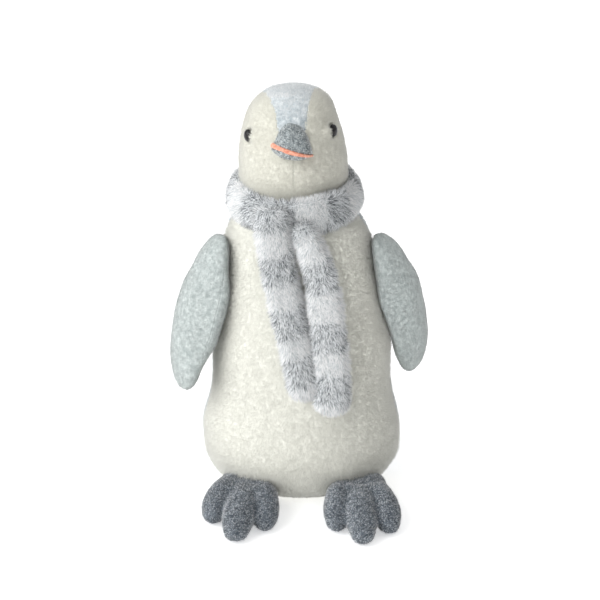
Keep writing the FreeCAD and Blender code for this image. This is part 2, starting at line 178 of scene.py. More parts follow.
def wrap(form, low, high, rows, columns, side=(0, 1, 0), ends=0.25, reach=0.3):
    """Wraps a grid round a closed form: rays come in from outside towards the line from low to high.

    Rows run from the low end to the high one; columns go round, and start at the side given. Returns the
    points, with one point for each end, and the faces.
    """
    low, high = np.array(low, float), np.array(high, float)
    axis = unit(high - low)
    across = unit(np.array(side, float) - np.dot(side, axis) * axis)
    other = np.cross(axis, across)

    def hit(target, direction):
        start = target + direction * reach
        found = form.ray_cast(Vector(start), Vector(-direction), reach)
        return np.array(found[0]) if found[0] is not None else target + direction * 0.002

    points = [hit(low, -axis)]
    for row in range(rows):
        t = (row + 1) / (rows + 1)
        if t < ends:
            target, lean = low, (t / ends - 1) * math.pi / 2
        elif t > 1 - ends:
            target, lean = high, ((t - 1 + ends) / ends) * math.pi / 2
        else:
            target, lean = low + (high - low) * (t - ends) / (1 - 2 * ends), 0
        for column in range(columns):
            turn = 2 * math.pi * column / columns
            outward = across * math.cos(turn) + other * math.sin(turn)
            points.append(hit(target, unit(outward * math.cos(lean) + axis * math.sin(lean))))
    points.append(hit(high, axis))
    faces = []
    last = len(points) - 1
    for column in range(columns):
        following = (column + 1) % columns
        faces.append((0, 1 + following, 1 + column))
        for row in range(rows - 1):
            a, b = 1 + row * columns, 1 + (row + 1) * columns
            faces.append((a + column, a + following, b + following, b + column))
        top = 1 + (rows - 1) * columns
        faces.append((top + column, top + following, last))
    return np.array(points), faces


def relax(mesh, rounds, factor=0.5, keep=None):
    """Evens out the points by moving each towards the middle of its neighbours."""
    edges = np.empty(len(mesh.edges) * 2, int)
    mesh.edges.foreach_get("vertices", edges)
    edges = edges.reshape(-1, 2)
    points = get_points(mesh)
    count = np.bincount(edges.ravel(), minlength=len(points))[:, None]
    share = factor if keep is None else factor * (1 - keep[:, None])
    for _ in range(rounds):
        total = np.zeros_like(points)
        np.add.at(total, edges[:, 0], points[edges[:, 1]])
        np.add.at(total, edges[:, 1], points[edges[:, 0]])
        points += (total / np.maximum(count, 1) - points) * share
    set_points(mesh, points)


def puff(obj, pinned, pressure, cap, frames=16):
    """Pads a closed cover by cloth simulation: it swells from within, held where pinned is 1."""
    scene = bpy.context.scene
    before = get_points(obj.data)
    group = obj.vertex_groups.new(name="sewn")
    for i, weight in enumerate(pinned):
        if weight > 0.01:
            group.add([i], float(min(weight, 1)), "REPLACE")
    cloth = obj.modifiers.new("padding", "CLOTH")
    cloth.settings.quality = 5
    cloth.settings.vertex_group_mass = "sewn"
    cloth.settings.use_pressure = True
    cloth.settings.uniform_pressure_force = pressure
    cloth.settings.tension_stiffness = 12
    cloth.settings.compression_stiffness = 12
    cloth.settings.bending_stiffness = 0.4
    cloth.settings.effector_weights.gravity = 0
    cloth.point_cache.frame_start, cloth.point_cache.frame_end = 1, frames
    for number in range(1, frames + 1):
        scene.frame_set(number)
    evaluated = obj.evaluated_get(bpy.context.evaluated_depsgraph_get())
    after = get_points(evaluated.data)
    scene.frame_set(1)
    obj.modifiers.remove(cloth)
    obj.vertex_groups.remove(group)
    move = after - before
    length = np.linalg.norm(move, axis=1, keepdims=True)
    move *= np.minimum(1, cap / np.maximum(length, 1e-9))
    set_points(obj.data, before + move)


def flat_map(mesh, across, along):
    """Gives a mesh its own UV map from two values at each point, each brought to 0..1."""
    layer = mesh.uv_layers.new(name="OFBake")
    corners = np.empty(len(mesh.loops), int)
    mesh.loops.foreach_get("vertex_index", corners)
    uv = np.stack([(v - v.min()) / max(np.ptp(v), 1e-9) * 0.96 + 0.02 for v in (across, along)], axis=1)
    layer.data.foreach_set("uv", uv[corners].ravel())


def part_of(obj, name, keep):
    """A new object from the faces that keep chooses by the rows of their middles."""
    mesh = obj.data
    points = get_points(mesh)
    middles = np.empty(len(mesh.polygons) * 3)
    mesh.polygons.foreach_get("center", middles)
    mask = keep(middles.reshape(-1, 3))
    chosen = [tuple(face.vertices) for face, wanted in zip(mesh.polygons, mask) if wanted]
    used = sorted({i for f in chosen for i in f})
    number = {old: new for new, old in enumerate(used)}
    return add_mesh(name, points[used], [tuple(number[i] for i in f) for f in chosen])


def thicken(obj, thickness, levels=1):
    """Turns an outer surface into a cover with two sides and smooths it."""
    shell = obj.modifiers.new("cloth thickness", "SOLIDIFY")
    shell.thickness = thickness
    shell.offset = -1
    shell.edge_crease_outer = 1
    smooth = obj.modifiers.new("smooth", "SUBSURF")
    smooth.levels = smooth.render_levels = levels


# ---------------------------------------------------------------- pile

class Roots:
    """Random places on an object's faces, with their normals."""

    def __init__(self, obj, per_mm2, seed, keep=None):
        rng = np.random.default_rng(seed)
        mesh = obj.data
        mesh.calc_loop_triangles()
        triangles = np.empty(len(mesh.loop_triangles) * 3, int)
        mesh.loop_triangles.foreach_get("vertices", triangles)
        triangles = triangles.reshape(-1, 3)
        points, normals = get_points(mesh), get_normals(mesh)
        corners = points[triangles]
        crossed = np.cross(corners[:, 1] - corners[:, 0], corners[:, 2] - corners[:, 0])
        area = np.linalg.norm(crossed, axis=1) / 2
        count = int(area.sum() * 1e6 * per_mm2)
        chosen = rng.choice(len(area), size=count, p=area / area.sum())
        weights = rng.dirichlet((1, 1, 1), size=count)[:, :, None]
        self.at = (corners[chosen] * weights).sum(axis=1)
        self.normal = unit((normals[triangles[chosen]] * weights).sum(axis=1))
        if keep is not None:
            self.choose(keep(self.at))

    def choose(self, mask):
        self.at, self.normal = self.at[mask], self.normal[mask]

    def some(self, mask):
        """These roots without those outside the mask, as a new set."""
        part = copy.copy(self)
        part.choose(mask)
        return part

    def __len__(self):
        return len(self.at)


def clump(roots, spacing, seed):
    """For each root, the place of the clump that it belongs to."""
    rng = np.random.default_rng(seed)
    wanted = max(8, int(len(roots) * spacing))
    chosen = rng.choice(len(roots), size=min(wanted, len(roots)), replace=False)
    tree = KDTree(len(chosen))
    for number, place in enumerate(roots.at[chosen]):
        tree.insert(Vector(place), number)
    tree.balance()
    nearest = np.array([tree.find(Vector(p))[1] for p in roots.at])
    return chosen[nearest]


def pile(name, roots, length, width, lean, rough, seed, segments=1, gather=0.0, spacing=0.1,
         curl=0.0, tone=None, extra=None, mapping=None, bury=0.0006, soft=0.8):
    """Closed tapered fibres, in meshes of at most MOST_TRIANGLES. lean is added to the normal.

    length, width and lean are single values or one for each root. gather pulls the tips of a clump
    together, and soft is how much a fibre takes the cloth's own normal for its shading. tone and extra are
    stored for the material, and mapping turns the roots' places into a UV map.
    """
    rng = np.random.default_rng(seed)
    count = len(roots)
    length = np.broadcast_to(np.asarray(length, float), (count,)) * rng.uniform(0.8, 1.15, count)
    width = np.broadcast_to(np.asarray(width, float), (count,)) * rng.uniform(0.8, 1.2, count)
    stray = rough * (0.7 + 1.8 * rng.uniform(size=(count, 1)) ** 4)
    heading = unit(roots.normal + lean + rng.normal(size=(count, 3)) * stray)
    base = roots.at - roots.normal * bury
    tips = base + heading * length[:, None]
    if gather:
        leaders = clump(roots, spacing, seed + 1)
        tips += (tips[leaders] - tips) * (gather * rng.uniform(0.6, 1.1, count))[:, None]
    aim = tips - base
    side = unit(np.cross(aim, rng.normal(size=(count, 3))))
    other = unit(np.cross(aim, side))
    sag = np.broadcast_to(lean, (count, 3)) * 0.35 * length[:, None]
    swirl = side * (curl * length)[:, None]
    ring = np.stack([side * math.cos(a) + other * math.sin(a) for a in FIBRE_CORNERS], axis=1)
    rows, tip_share = [], []
    for step in range(segments):
        t = step / segments
        middle = base + aim * t - sag * t * (1 - t) + swirl * math.sin(math.pi * 1.5 * t)
        radius = (width / 2 * (1 - t) ** 0.6)[:, None, None]
        rows.append(middle[:, None, :] + ring * radius)
        tip_share += [t] * 3
    rows.append(tips[:, None, :])
    tip_share.append(1.0)
    points = np.concatenate(rows, axis=1)
    core = np.concatenate([r.mean(axis=1, keepdims=True).repeat(r.shape[1], 1) for r in rows], axis=1)
    shading = (roots.normal * soft + unit(aim) * 0.3)[:, None, :] + unit(points - core) * (1.2 - soft)
    values = {"tone": rng.uniform(0, 1, count) if tone is None else tone}
    values.update(extra or {})
    spread = 0.4 / math.sqrt(max(count, 1))
    local = np.array([[math.cos(2.1 * (i % 3)) * (1 - t), math.sin(2.1 * (i % 3)) * (1 - t) + t]
                      for i, t in enumerate(tip_share)]) * spread
    uv = np.clip(np.stack(mapping(roots.at), axis=1)[:, None, :] * 0.94 + 0.03 + local, 0, 1)
    pieces = max(1, math.ceil(count * (6 * segments - 2) / MOST_TRIANGLES))
    order = np.argsort(roots.at[:, 0])
    made = []
    for number, chosen in enumerate(np.array_split(order, pieces)):
        label = name if pieces == 1 else f"{name}_{number + 1}"
        made.append(fibre_mesh(label, segments, points[chosen], unit(shading[chosen]), tip_share,
                               {key: value[chosen] for key, value in values.items()},
                               roots.at[chosen], uv[chosen]))
    return made


def heather(roots, seed, light):
    """Tones for a marled cloth: most fibres are dark and this share of them light."""
    rng = np.random.default_rng(seed)
    count = len(roots)
    chosen = rng.uniform(size=count) < light
    return np.where(chosen, rng.uniform(0.75, 1, count), rng.uniform(0, 0.3, count))


def fibre_mesh(name, segments, points, shading, tip_share, values, roots_at, uv):
    """One mesh from rings of three points and a tip for each fibre."""
    count, per = points.shape[:2]
    faces = [(2, 1, 0)]
    for step in range(segments - 1):
        for k in range(3):
            a, b = 3 * step + k, 3 * step + (k + 1) % 3
            faces.append((a, b, b + 3, a + 3))
    last = 3 * (segments - 1)
    faces += [(last + k, last + (k + 1) % 3, per - 1) for k in range(3)]
    pattern = np.concatenate([np.array(f) for f in faces])
    corners = (pattern[None, :] + np.arange(count)[:, None] * per).ravel()
    totals = np.tile([len(f) for f in faces], count)
    mesh = bpy.data.meshes.new(name)
    mesh.vertices.add(count * per)
    mesh.vertices.foreach_set("co", points.reshape(-1))
    mesh.loops.add(len(corners))
    mesh.loops.foreach_set("vertex_index", corners.astype(np.int32))
    mesh.polygons.add(len(totals))
    mesh.polygons.foreach_set("loop_start", np.concatenate([[0], np.cumsum(totals)[:-1]]).astype(np.int32))
    mesh.update(calc_edges=True)
    mesh.shade_smooth()
    stored = {"tip": np.tile(tip_share, count)}
    stored.update({key: np.repeat(value, per) for key, value in values.items()})
    for key, value in stored.items():
        mesh.attributes.new(key, "FLOAT", "POINT").data.foreach_set("value", value.astype(np.float32))
    where = mesh.attributes.new("root", "FLOAT_VECTOR", "POINT")
    where.data.foreach_set("vector", np.repeat(roots_at, per, axis=0).astype(np.float32).ravel())
    mesh.normals_split_custom_set_from_vertices(shading.reshape(-1, 3).astype(np.float32))
    mesh.uv_layers.new(name="OFBake").data.foreach_set("uv", uv.reshape(-1, 2)[corners].ravel())
    return in_scene(name, mesh)


def by_axes(first, second):
    """A UV mapping from two axes of the places, each brought to 0..1."""
    def mapped(at):
        return tuple((at[:, axis] - at[:, axis].min()) / np.ptp(at[:, axis]) for axis in (first, second))
    return mapped


def round_about(points, middle, start=(0, 1, 0)):
    """Maps places to 0..1 round the upright axis through the middle and 0..1 along it, for a UV map."""
    across = np.array(start, float)
    other = np.cross(UP, across)
    offset = points - np.array(middle)
    turn = np.arctan2(offset @ other, offset @ across) / (2 * np.pi) + 0.5
    along = offset @ UP
    turn = (turn - turn.min()) / max(np.ptp(turn), 1e-9)
    return turn, (along - along.min()) / max(np.ptp(along), 1e-9)


# ---------------------------------------------------------------- materials

def link(tree, out, into):
    tree.links.new(out, into)


def node(tree, kind, **values):
    """A new shader node, with values for its sockets or its own settings."""
    made = tree.nodes.new(kind)
    for key, value in values.items():
        if key in made.inputs:
            made.inputs[key].default_value = value
        else:
            setattr(made, key, value)
    return made


def new_material(name, **sockets):
    """A Principled material with constants set on the shader's own sockets."""
    mat = bpy.data.materials.new(name)
    mat.use_nodes = True
    shader = mat.node_tree.nodes["Principled BSDF"]
    for key, value in sockets.items():
        shader.inputs[key.replace("_", " ").title().replace("Ior", "IOR")].default_value = value
    return mat, mat.node_tree, shader


def colour_ramp(tree, stops):
    """A colour ramp from pairs of a place and a colour."""
    ramp = tree.nodes.new("ShaderNodeValToRGB")
    elements = ramp.color_ramp.elements
    while len(elements) < len(stops):
        elements.new(0.5)
    for element, (place, colour) in zip(elements, stops):
        element.position = place
        element.color = (*colour, 1)
    return ramp


def srgb(r, g, b):
    """A colour given as a person reads it on a screen, turned into light."""
    return tuple(((c / 255 + 0.055) / 1.055) ** 2.4 if c > 10 else c / 255 / 12.92 for c in (r, g, b))


def fibre_material(name, dark, light, root_painted_shade=0.72, mottle=0.5, size=9 * MM, contrast=1.0, by=None):
    """Pile: each fibre has its own tone, clouds of tone drift over the cloth and roots are painted darker, as
    painted shade down among the fibres.

    by is the name of a stored value that moves the colour towards by_light, used for stripes.
    """
    mat, tree, shader = new_material(name, roughness=0.95, specular_ior_level=0.15, sheen_weight=0.6,
                                     sheen_roughness=0.5)
    tone = node(tree, "ShaderNodeAttribute", attribute_name="tone")
    tip = node(tree, "ShaderNodeAttribute", attribute_name="tip")
    root = node(tree, "ShaderNodeAttribute", attribute_name="root")
    clouds = node(tree, "ShaderNodeTexNoise", Scale=1 / size, Detail=3.0, Roughness=0.6)
    link(tree, root.outputs["Vector"], clouds.inputs["Vector"])
    mixed = node(tree, "ShaderNodeMath", operation="MULTIPLY_ADD")
    link(tree, clouds.outputs["Fac"], mixed.inputs[0])
    mixed.inputs[1].default_value = mottle
    share = node(tree, "ShaderNodeMath", operation="MULTIPLY_ADD")
    link(tree, tone.outputs["Fac"], share.inputs[0])
    share.inputs[1].default_value = contrast * (1 - mottle)
    share.inputs[2].default_value = (1 - contrast) * (1 - mottle) * 0.5
    link(tree, share.outputs[0], mixed.inputs[2])
    ramp = colour_ramp(tree, [(0.15, dark), (0.85, light)])
    link(tree, mixed.outputs[0], ramp.inputs["Fac"])
    colour = ramp.outputs["Color"]
    if by is not None:
        stored, by_dark, by_light = by
        stripe = node(tree, "ShaderNodeAttribute", attribute_name=stored)
        second = colour_ramp(tree, [(0.15, by_dark), (0.85, by_light)])
        link(tree, mixed.outputs[0], second.inputs["Fac"])
        choose = node(tree, "ShaderNodeMix", data_type="RGBA")
        link(tree, stripe.outputs["Fac"], choose.inputs[0])
        link(tree, colour, choose.inputs[6])
        link(tree, second.outputs["Color"], choose.inputs[7])
        colour = choose.outputs[2]
    # Painted shade: each fibre's colour darkens towards its root, where the pile would shade itself.
    shade = colour_ramp(tree, [(0.0, (root_painted_shade,) * 3), (0.7, (1, 1, 1))])
    link(tree, tip.outputs["Fac"], shade.inputs["Fac"])
    times = node(tree, "ShaderNodeMix", data_type="RGBA", blend_type="MULTIPLY")
    times.inputs[0].default_value = 1
    link(tree, colour, times.inputs[6])
    link(tree, shade.outputs["Color"], times.inputs[7])
    link(tree, times.outputs[2], shader.inputs["Base Color"])
    return mat


def backing_material(name, dark, light, size=3 * MM, height=0.3 * MM):
    """The knitted backing under a pile, in the pile's colours, with a fine nap."""
    mat, tree, shader = new_material(name, roughness=0.95, specular_ior_level=0.1, sheen_weight=0.2)
    place = node(tree, "ShaderNodeTexCoord")
    clouds = node(tree, "ShaderNodeTexNoise", Scale=1 / size, Detail=4.0)
    link(tree, place.outputs["Object"], clouds.inputs["Vector"])
    ramp = colour_ramp(tree, [(0.3, dark), (0.7, light)])
    link(tree, clouds.outputs["Fac"], ramp.inputs["Fac"])
    link(tree, ramp.outputs["Color"], shader.inputs["Base Color"])
    grain = node(tree, "ShaderNodeTexNoise", Scale=2.5 / size, Detail=2.0)
    link(tree, place.outputs["Object"], grain.inputs["Vector"])
    relief = node(tree, "ShaderNodeBump", Strength=0.6, Distance=height)
    link(tree, grain.outputs["Fac"], relief.inputs["Height"])
    link(tree, relief.outputs["Normal"], shader.inputs["Normal"])
    return mat


# The darker and the lighter colour of each pile.
CREAM = (srgb(219, 219, 209), srgb(241, 241, 232))
FACE = (srgb(208, 207, 195), srgb(232, 231, 220))
BLUE_GREY = (srgb(166, 180, 187), srgb(246, 250, 251))
PALE = (srgb(158, 167, 166), srgb(206, 213, 211))
DARK = (srgb(56, 64, 72), srgb(220, 225, 230))
BEAK = (srgb(80, 88, 92), srgb(236, 242, 242))
SCARF_GREY = (srgb(76, 84, 90), srgb(244, 247, 249))
SCARF_WHITE = (srgb(206, 212, 214), srgb(255, 255, 255))


def make_materials():
    made = {
        "cream pile": fibre_material("cream pile", *CREAM, mottle=0.12, root_painted_shade=0.92, contrast=0.5),
        "cream backing": backing_material("cream backing", *CREAM),
        "face pile": fibre_material("face pile", *FACE, mottle=0.12, root_painted_shade=0.92, contrast=0.5),
        "face backing": backing_material("face backing", *FACE),
        "blue grey pile": fibre_material("blue grey pile", *BLUE_GREY, mottle=0.25, size=4 * MM,
                                         root_painted_shade=0.6),
        "blue grey backing": backing_material("blue grey backing", *BLUE_GREY),
        "pale pile": fibre_material("pale pile", *PALE, mottle=0.06, size=1.2 * MM, root_painted_shade=0.65),
        "pale backing": backing_material("pale backing", *PALE),
        "dark pile": fibre_material("dark pile", *DARK, mottle=0.2, size=3 * MM, root_painted_shade=0.7),
        "beak pile": fibre_material("beak pile", *BEAK, mottle=0.2, size=3 * MM, root_painted_shade=0.75),
        "dark backing": backing_material("dark backing", srgb(70, 78, 86), srgb(120, 128, 136)),
        "scarf pile": fibre_material("scarf pile", *SCARF_GREY, mottle=0.12, size=6 * MM, root_painted_shade=0.5,
                                     by=("stripe", *SCARF_WHITE)),
        "scarf backing": backing_material("scarf backing", srgb(176, 181, 183), srgb(214, 218, 220)),
        "beak backing": backing_material("beak backing", srgb(120, 128, 131), srgb(176, 184, 186)),
        "coral cloth": backing_material("coral cloth", srgb(203, 122, 99), srgb(238, 180, 156),
                                        size=1.5 * MM),
        "filling": backing_material("filling", srgb(228, 230, 230), srgb(250, 250, 250), size=6 * MM,
                                    height=1 * MM),
        "pouch": backing_material("pouch", srgb(205, 203, 196), srgb(228, 226, 220), size=1 * MM),
        "pellets": backing_material("pellets", srgb(215, 216, 218), srgb(245, 246, 248), size=2.5 * MM,
                                    height=1.2 * MM),
    }
    black, tree, shader = new_material("black eye", roughness=0.15, specular_ior_level=0.25, coat_weight=0.08,
                                       coat_roughness=0.05)
    depth = node(tree, "ShaderNodeTexNoise", Scale=400.0)
    place = node(tree, "ShaderNodeTexCoord")
    link(tree, place.outputs["Object"], depth.inputs["Vector"])
    ramp = colour_ramp(tree, [(0.3, (0.004, 0.004, 0.005)), (0.7, (0.009, 0.008, 0.008))])
    link(tree, depth.outputs["Fac"], ramp.inputs["Fac"])
    link(tree, ramp.outputs["Color"], shader.inputs["Base Color"])
    made["black eye"] = black
    made["washer"] = backing_material("washer", srgb(205, 206, 205), srgb(228, 229, 228), size=4 * MM,
                                      height=0.05 * MM)
    return made


MATERIALS = make_materials()
# These piles let light through: with shadows of their own, such dense fibres look speckled and dark.
SOFT_PILES = ("cream pile", "face pile", "blue grey pile", "pale pile", "scarf pile")


def finish_piece(obj, material, body=None, replaces=()):
    """Gives a piece its material and body, hides the CAD nodes that it replaces and sets whether it casts
    shadows.
    """
    obj.data.materials.clear()
    obj.data.materials.append(MATERIALS[material])
    obj.visible_shadow = material not in SOFT_PILES
    if body is not None:
        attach(obj, body)
    if replaces:
        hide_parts(*replaces)
    return obj


# ---------------------------------------------------------------- body

BASE_EDGE = 1.2 * MM  # height of the seam round the base
FOLD_DEPTH = 1.8 * MM  # of the fold over each thigh
THIGH_FULLNESS = 1.4 * MM
BELLY_OVERHANG = 2.6 * MM  # over the top of each foot
OVER_FILLING = 1.8 * MM  # no fold or seam comes closer to the filling


def build_body():
    """Front, back and base covers of the body, padded together, then cut apart at their seams."""
    form = form_of("body_front_panel", "body_back_panel", "body_base_panel")
    high = np.array(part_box("body_front_panel")[1])
    side_seam = high[1]
    neck = PIVOTS["neck_nod"]
    points, faces = wrap(form, (0, 0, 36 * MM), (neck[0] * 0.6, 0, high[2] - 34 * MM), 84, 120)
    skin = add_mesh("body_skin", points, faces)
    relax(skin.data, 3)
    points, normals = get_points(skin.data), get_normals(skin.data)
    inset = 1.3 * MM * smoothstep(0, 6 * MM, points[:, 2])
    points -= normals * inset[:, None]
    set_points(skin.data, points)
    seam = bump(points[:, 1], side_seam, 2.2 * MM) * smoothstep(4 * MM, 20 * MM, points[:, 2])
    flat = 1 - smoothstep(0.5 * MM, 3 * MM, points[:, 2])
    puff(skin, np.clip(seam * 0.9 + flat, 0, 1), FULLEST, 2.0 * MM)
    points, normals = get_points(skin.data), get_normals(skin.data)
    # The thighs bulge under a soft fold that runs in from each side and sinks towards the middle.
    across = np.abs(points[:, 0])
    fold = 70 * MM - (66 * MM - across) * 0.32
    depth = FOLD_DEPTH * smoothstep(26 * MM, 62 * MM, across) * bump(points[:, 2], fold, 6.5 * MM)
    below = bump(points[:, 2], fold - 22 * MM, 16 * MM)
    thigh = THIGH_FULLNESS * smoothstep(18 * MM, 50 * MM, across) * below
    for side in SIDES:
        ankle = PIVOTS[f"foot_{side}_flex"]
        over = bump(points[:, 0], ankle[0], 26 * MM) * bump(points[:, 2], 27 * MM, 8 * MM)
        thigh += BELLY_OVERHANG * over * (normals[:, 1] < 0)
    groove = 0.6 * MM * seam
    soft = 0.5 * MM * waves(points, 38 * MM, 11)
    points += normals * (thigh + soft * (1 - flat) - depth - groove)[:, None]
    filling = form_of("body_filling")
    for i in np.flatnonzero(points[:, 2] < high[2] - 40 * MM):
        place, outward = (np.array(v) for v in filling.find_nearest(Vector(points[i]))[:2])
        points[i] += outward * max(0.0, OVER_FILLING - np.dot(points[i] - place, outward))
    points[:, 2] = np.maximum(points[:, 2], 0.0)
    set_points(skin.data, points)
    pieces = {}
    for name, material, keep in (
            ("body_front_cover", "cream", lambda m: (m[:, 1] < side_seam) & (m[:, 2] > BASE_EDGE)),
            ("body_back_cover", "blue grey", lambda m: (m[:, 1] >= side_seam) & (m[:, 2] > BASE_EDGE)),
            ("body_base_cover", "cream", lambda m: m[:, 2] <= BASE_EDGE)):
        cover = part_of(skin, name, keep)
        at = get_points(cover.data)
        if "base" in name:
            flat_map(cover.data, at[:, 0], at[:, 1])
        else:
            flat_map(cover.data, *round_body(at, "front" in name))
        pieces[name] = (cover, material)
    bpy.data.objects.remove(skin)
    return pieces


def round_body(at, front):
    """Maps places on the body for a UV map, which is cut at the back for the front cover."""
    return round_about(at, (0, 0, 0), start=(0, 1 if front else -1, 0))


def body_pile(cover, name, seed, flippers):
    """Short dense pile that lies a little downward, finer at the front."""
    front = "front" in name
    per_mm2, width = (2.4, 0.46 * MM) if front else (1.3, 0.66 * MM)
    roots = Roots(cover, per_mm2, seed, lambda at: at[:, 2] > 1.0 * MM)
    droop = smoothstep(0.5, 1.0, np.abs(roots.normal[:, 2]))
    drift = waves(roots.at, 26 * MM, seed + 5)[:, None] * np.array((0.08, 0, 0.03))
    lean = np.array((0, 0, -0.36)) * (1 - droop)[:, None] + drift
    length = 3.1 * MM * (1 - 0.55 * (1 - smoothstep(1 * MM, 10 * MM, roots.at[:, 2])))
    if front:
        # Longer pile hides where the flippers and the feet leave the body.
        for form in flippers:
            gap = np.array([form.find_nearest(Vector(p), 14 * MM)[3] or 14 * MM for p in roots.at])
            beside = smoothstep(12 * MM, 4 * MM, gap) * smoothstep(95 * MM, 120 * MM, roots.at[:, 2])
            length += 2.2 * MM * beside
            lean += beside[:, None] * unit(roots.at * (1, 0.3, 0)) * (0.5, 0.5, 0)
        for side in SIDES:
            ankle = PIVOTS[f"foot_{side}_flex"]
            over_foot = bump(roots.at[:, 0], ankle[0], 30 * MM) * bump(roots.at[:, 2], 25 * MM, 9 * MM)
            length += 3.8 * MM * over_foot
            lean += np.array((0, -0.25, -0.5)) * over_foot[:, None]
    return pile(name, roots, length, width, lean, 0.3, seed + 2, soft=0.75,
                mapping=lambda at: round_body(at, front))


def finish_body(flippers):
    """Dresses the covers of the body; flippers are the forms that the pile is longer beside."""
    for number, (name, (cover, colours)) in enumerate(build_body().items()):
        if "base" not in name:
            for fur in body_pile(cover, name.replace("cover", "pile"), 100 + number, flippers):
                finish_piece(fur, colours + " pile", "torso")
        thicken(cover, COVER)
        finish_piece(cover, colours + " backing", "torso", [name.replace("cover", "panel")])


# ---------------------------------------------------------------- head

def head_frame():
    """The head's own frame: its pivot, and its left, forward and up directions."""
    left, right = box_middle("eye_left"), box_middle("eye_right")
    across = unit((left - right) * (1, 0, 1))
    return PIVOTS["head_turn"], across, FRONT, np.cross(across, -FRONT)


BLAZE_OFF_MIDDLE = 1.5 * MM  # the blaze sits a little to the penguin's left
BLAZE_AT_BEAK = 8.2 * MM  # half its width where it meets the beak
BLAZE_SPREAD = 0.27  # how fast it widens from there to the back of the head
BLAZE_FOOT = 37 * MM  # height above the pivot where it ends at the front
BROW = 2.9 * MM  # how far the face swells in front of each eye
FULLER_LEFT = 4.5 * MM  # how much fuller the top of the head is on the penguin's left


def in_crown(points):
    """How far inside the blaze of the crown each place is; below 0 is cheek."""
    pivot, across, front, up = head_frame()
    offset = points - pivot
    side, ahead, height = np.abs(offset @ across - BLAZE_OFF_MIDDLE), offset @ front, offset @ up
    half = BLAZE_AT_BEAK + (34.3 * MM - ahead) * BLAZE_SPREAD + 0.4 * MM * waves(points, 9 * MM, 33)
    return np.where(ahead > 0, np.minimum(half - side, height - BLAZE_FOOT), half - side)


def build_head():
    """Two cheeks and the crown, padded as one and cut apart where the CAD panels meet."""
    form = form_of("head_left_cheek_panel", "head_right_cheek_panel", "head_crown_panel")
    pivot = PIVOTS["head_turn"]
    crown_top = np.array(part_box("head_crown_panel")[1])
    low = pivot + UP * 4 * MM
    high = pivot + UP * (crown_top[2] - pivot[2] - 37 * MM)
    points, faces = wrap(form, low, high, 76, 120, ends=0.42)
    skin = add_mesh("head_skin", points, faces)
    relax(skin.data, 3)
    points, normals = get_points(skin.data), get_normals(skin.data)
    points -= normals * 1.2 * MM
    set_points(skin.data, points)
    seam = bump(in_crown(points), 0, 1.5 * MM)
    socket = near(points, [box_middle("beak_filling")], 15 * MM)
    eyes = near(points, [box_middle(e) for e in EYES], 4 * MM)
    throat = 1 - smoothstep(pivot[2] - 12 * MM, pivot[2] - 4 * MM, points[:, 2])
    puff(skin, np.clip(seam * 0.6 + socket + eyes + throat, 0, 1), FULLEST, 1.4 * MM)
    points, normals = get_points(skin.data), get_normals(skin.data)
    brow = near(points, [front_of_eye(e) for e in EYES], 3.4 * MM)
    points += normals * (BROW * brow - 0.15 * MM * seam - 0.6 * MM * eyes)[:, None]
    full = smoothstep(box_middle("eye_left")[2] + 4 * MM, crown_top[2], points[:, 2])
    points[:, 0] += FULLER_LEFT * full * smoothstep(-8 * MM, 22 * MM, points[:, 0] - pivot[0])
    set_points(skin.data, points)
    pieces = []
    cheek, crown = ("face", "cream_plush"), ("blue grey", "blue_grey_plush")
    for name, (colours, slot), keep in (
            ("head_left_cheek", cheek, lambda m: (in_crown(m) < 0) & (m[:, 0] >= pivot[0])),
            ("head_right_cheek", cheek, lambda m: (in_crown(m) < 0) & (m[:, 0] < pivot[0])),
            ("head_crown", crown, lambda m: in_crown(m) >= 0)):
        cover = part_of(skin, name + "_cover", keep)
        flat_map(cover.data, *round_about(get_points(cover.data), pivot))
        pieces.append((cover, name, colours, slot))
    return skin, pieces


def front_of_eye(eye):
    """The place on the face just in front of an eye, where the pile hides part of it."""
    middle = box_middle(eye)
    inward = unit((PIVOTS["head_turn"] - middle) * (1, 0, 0))
    return middle + inward * 2.8 * MM + FRONT * 5.2 * MM


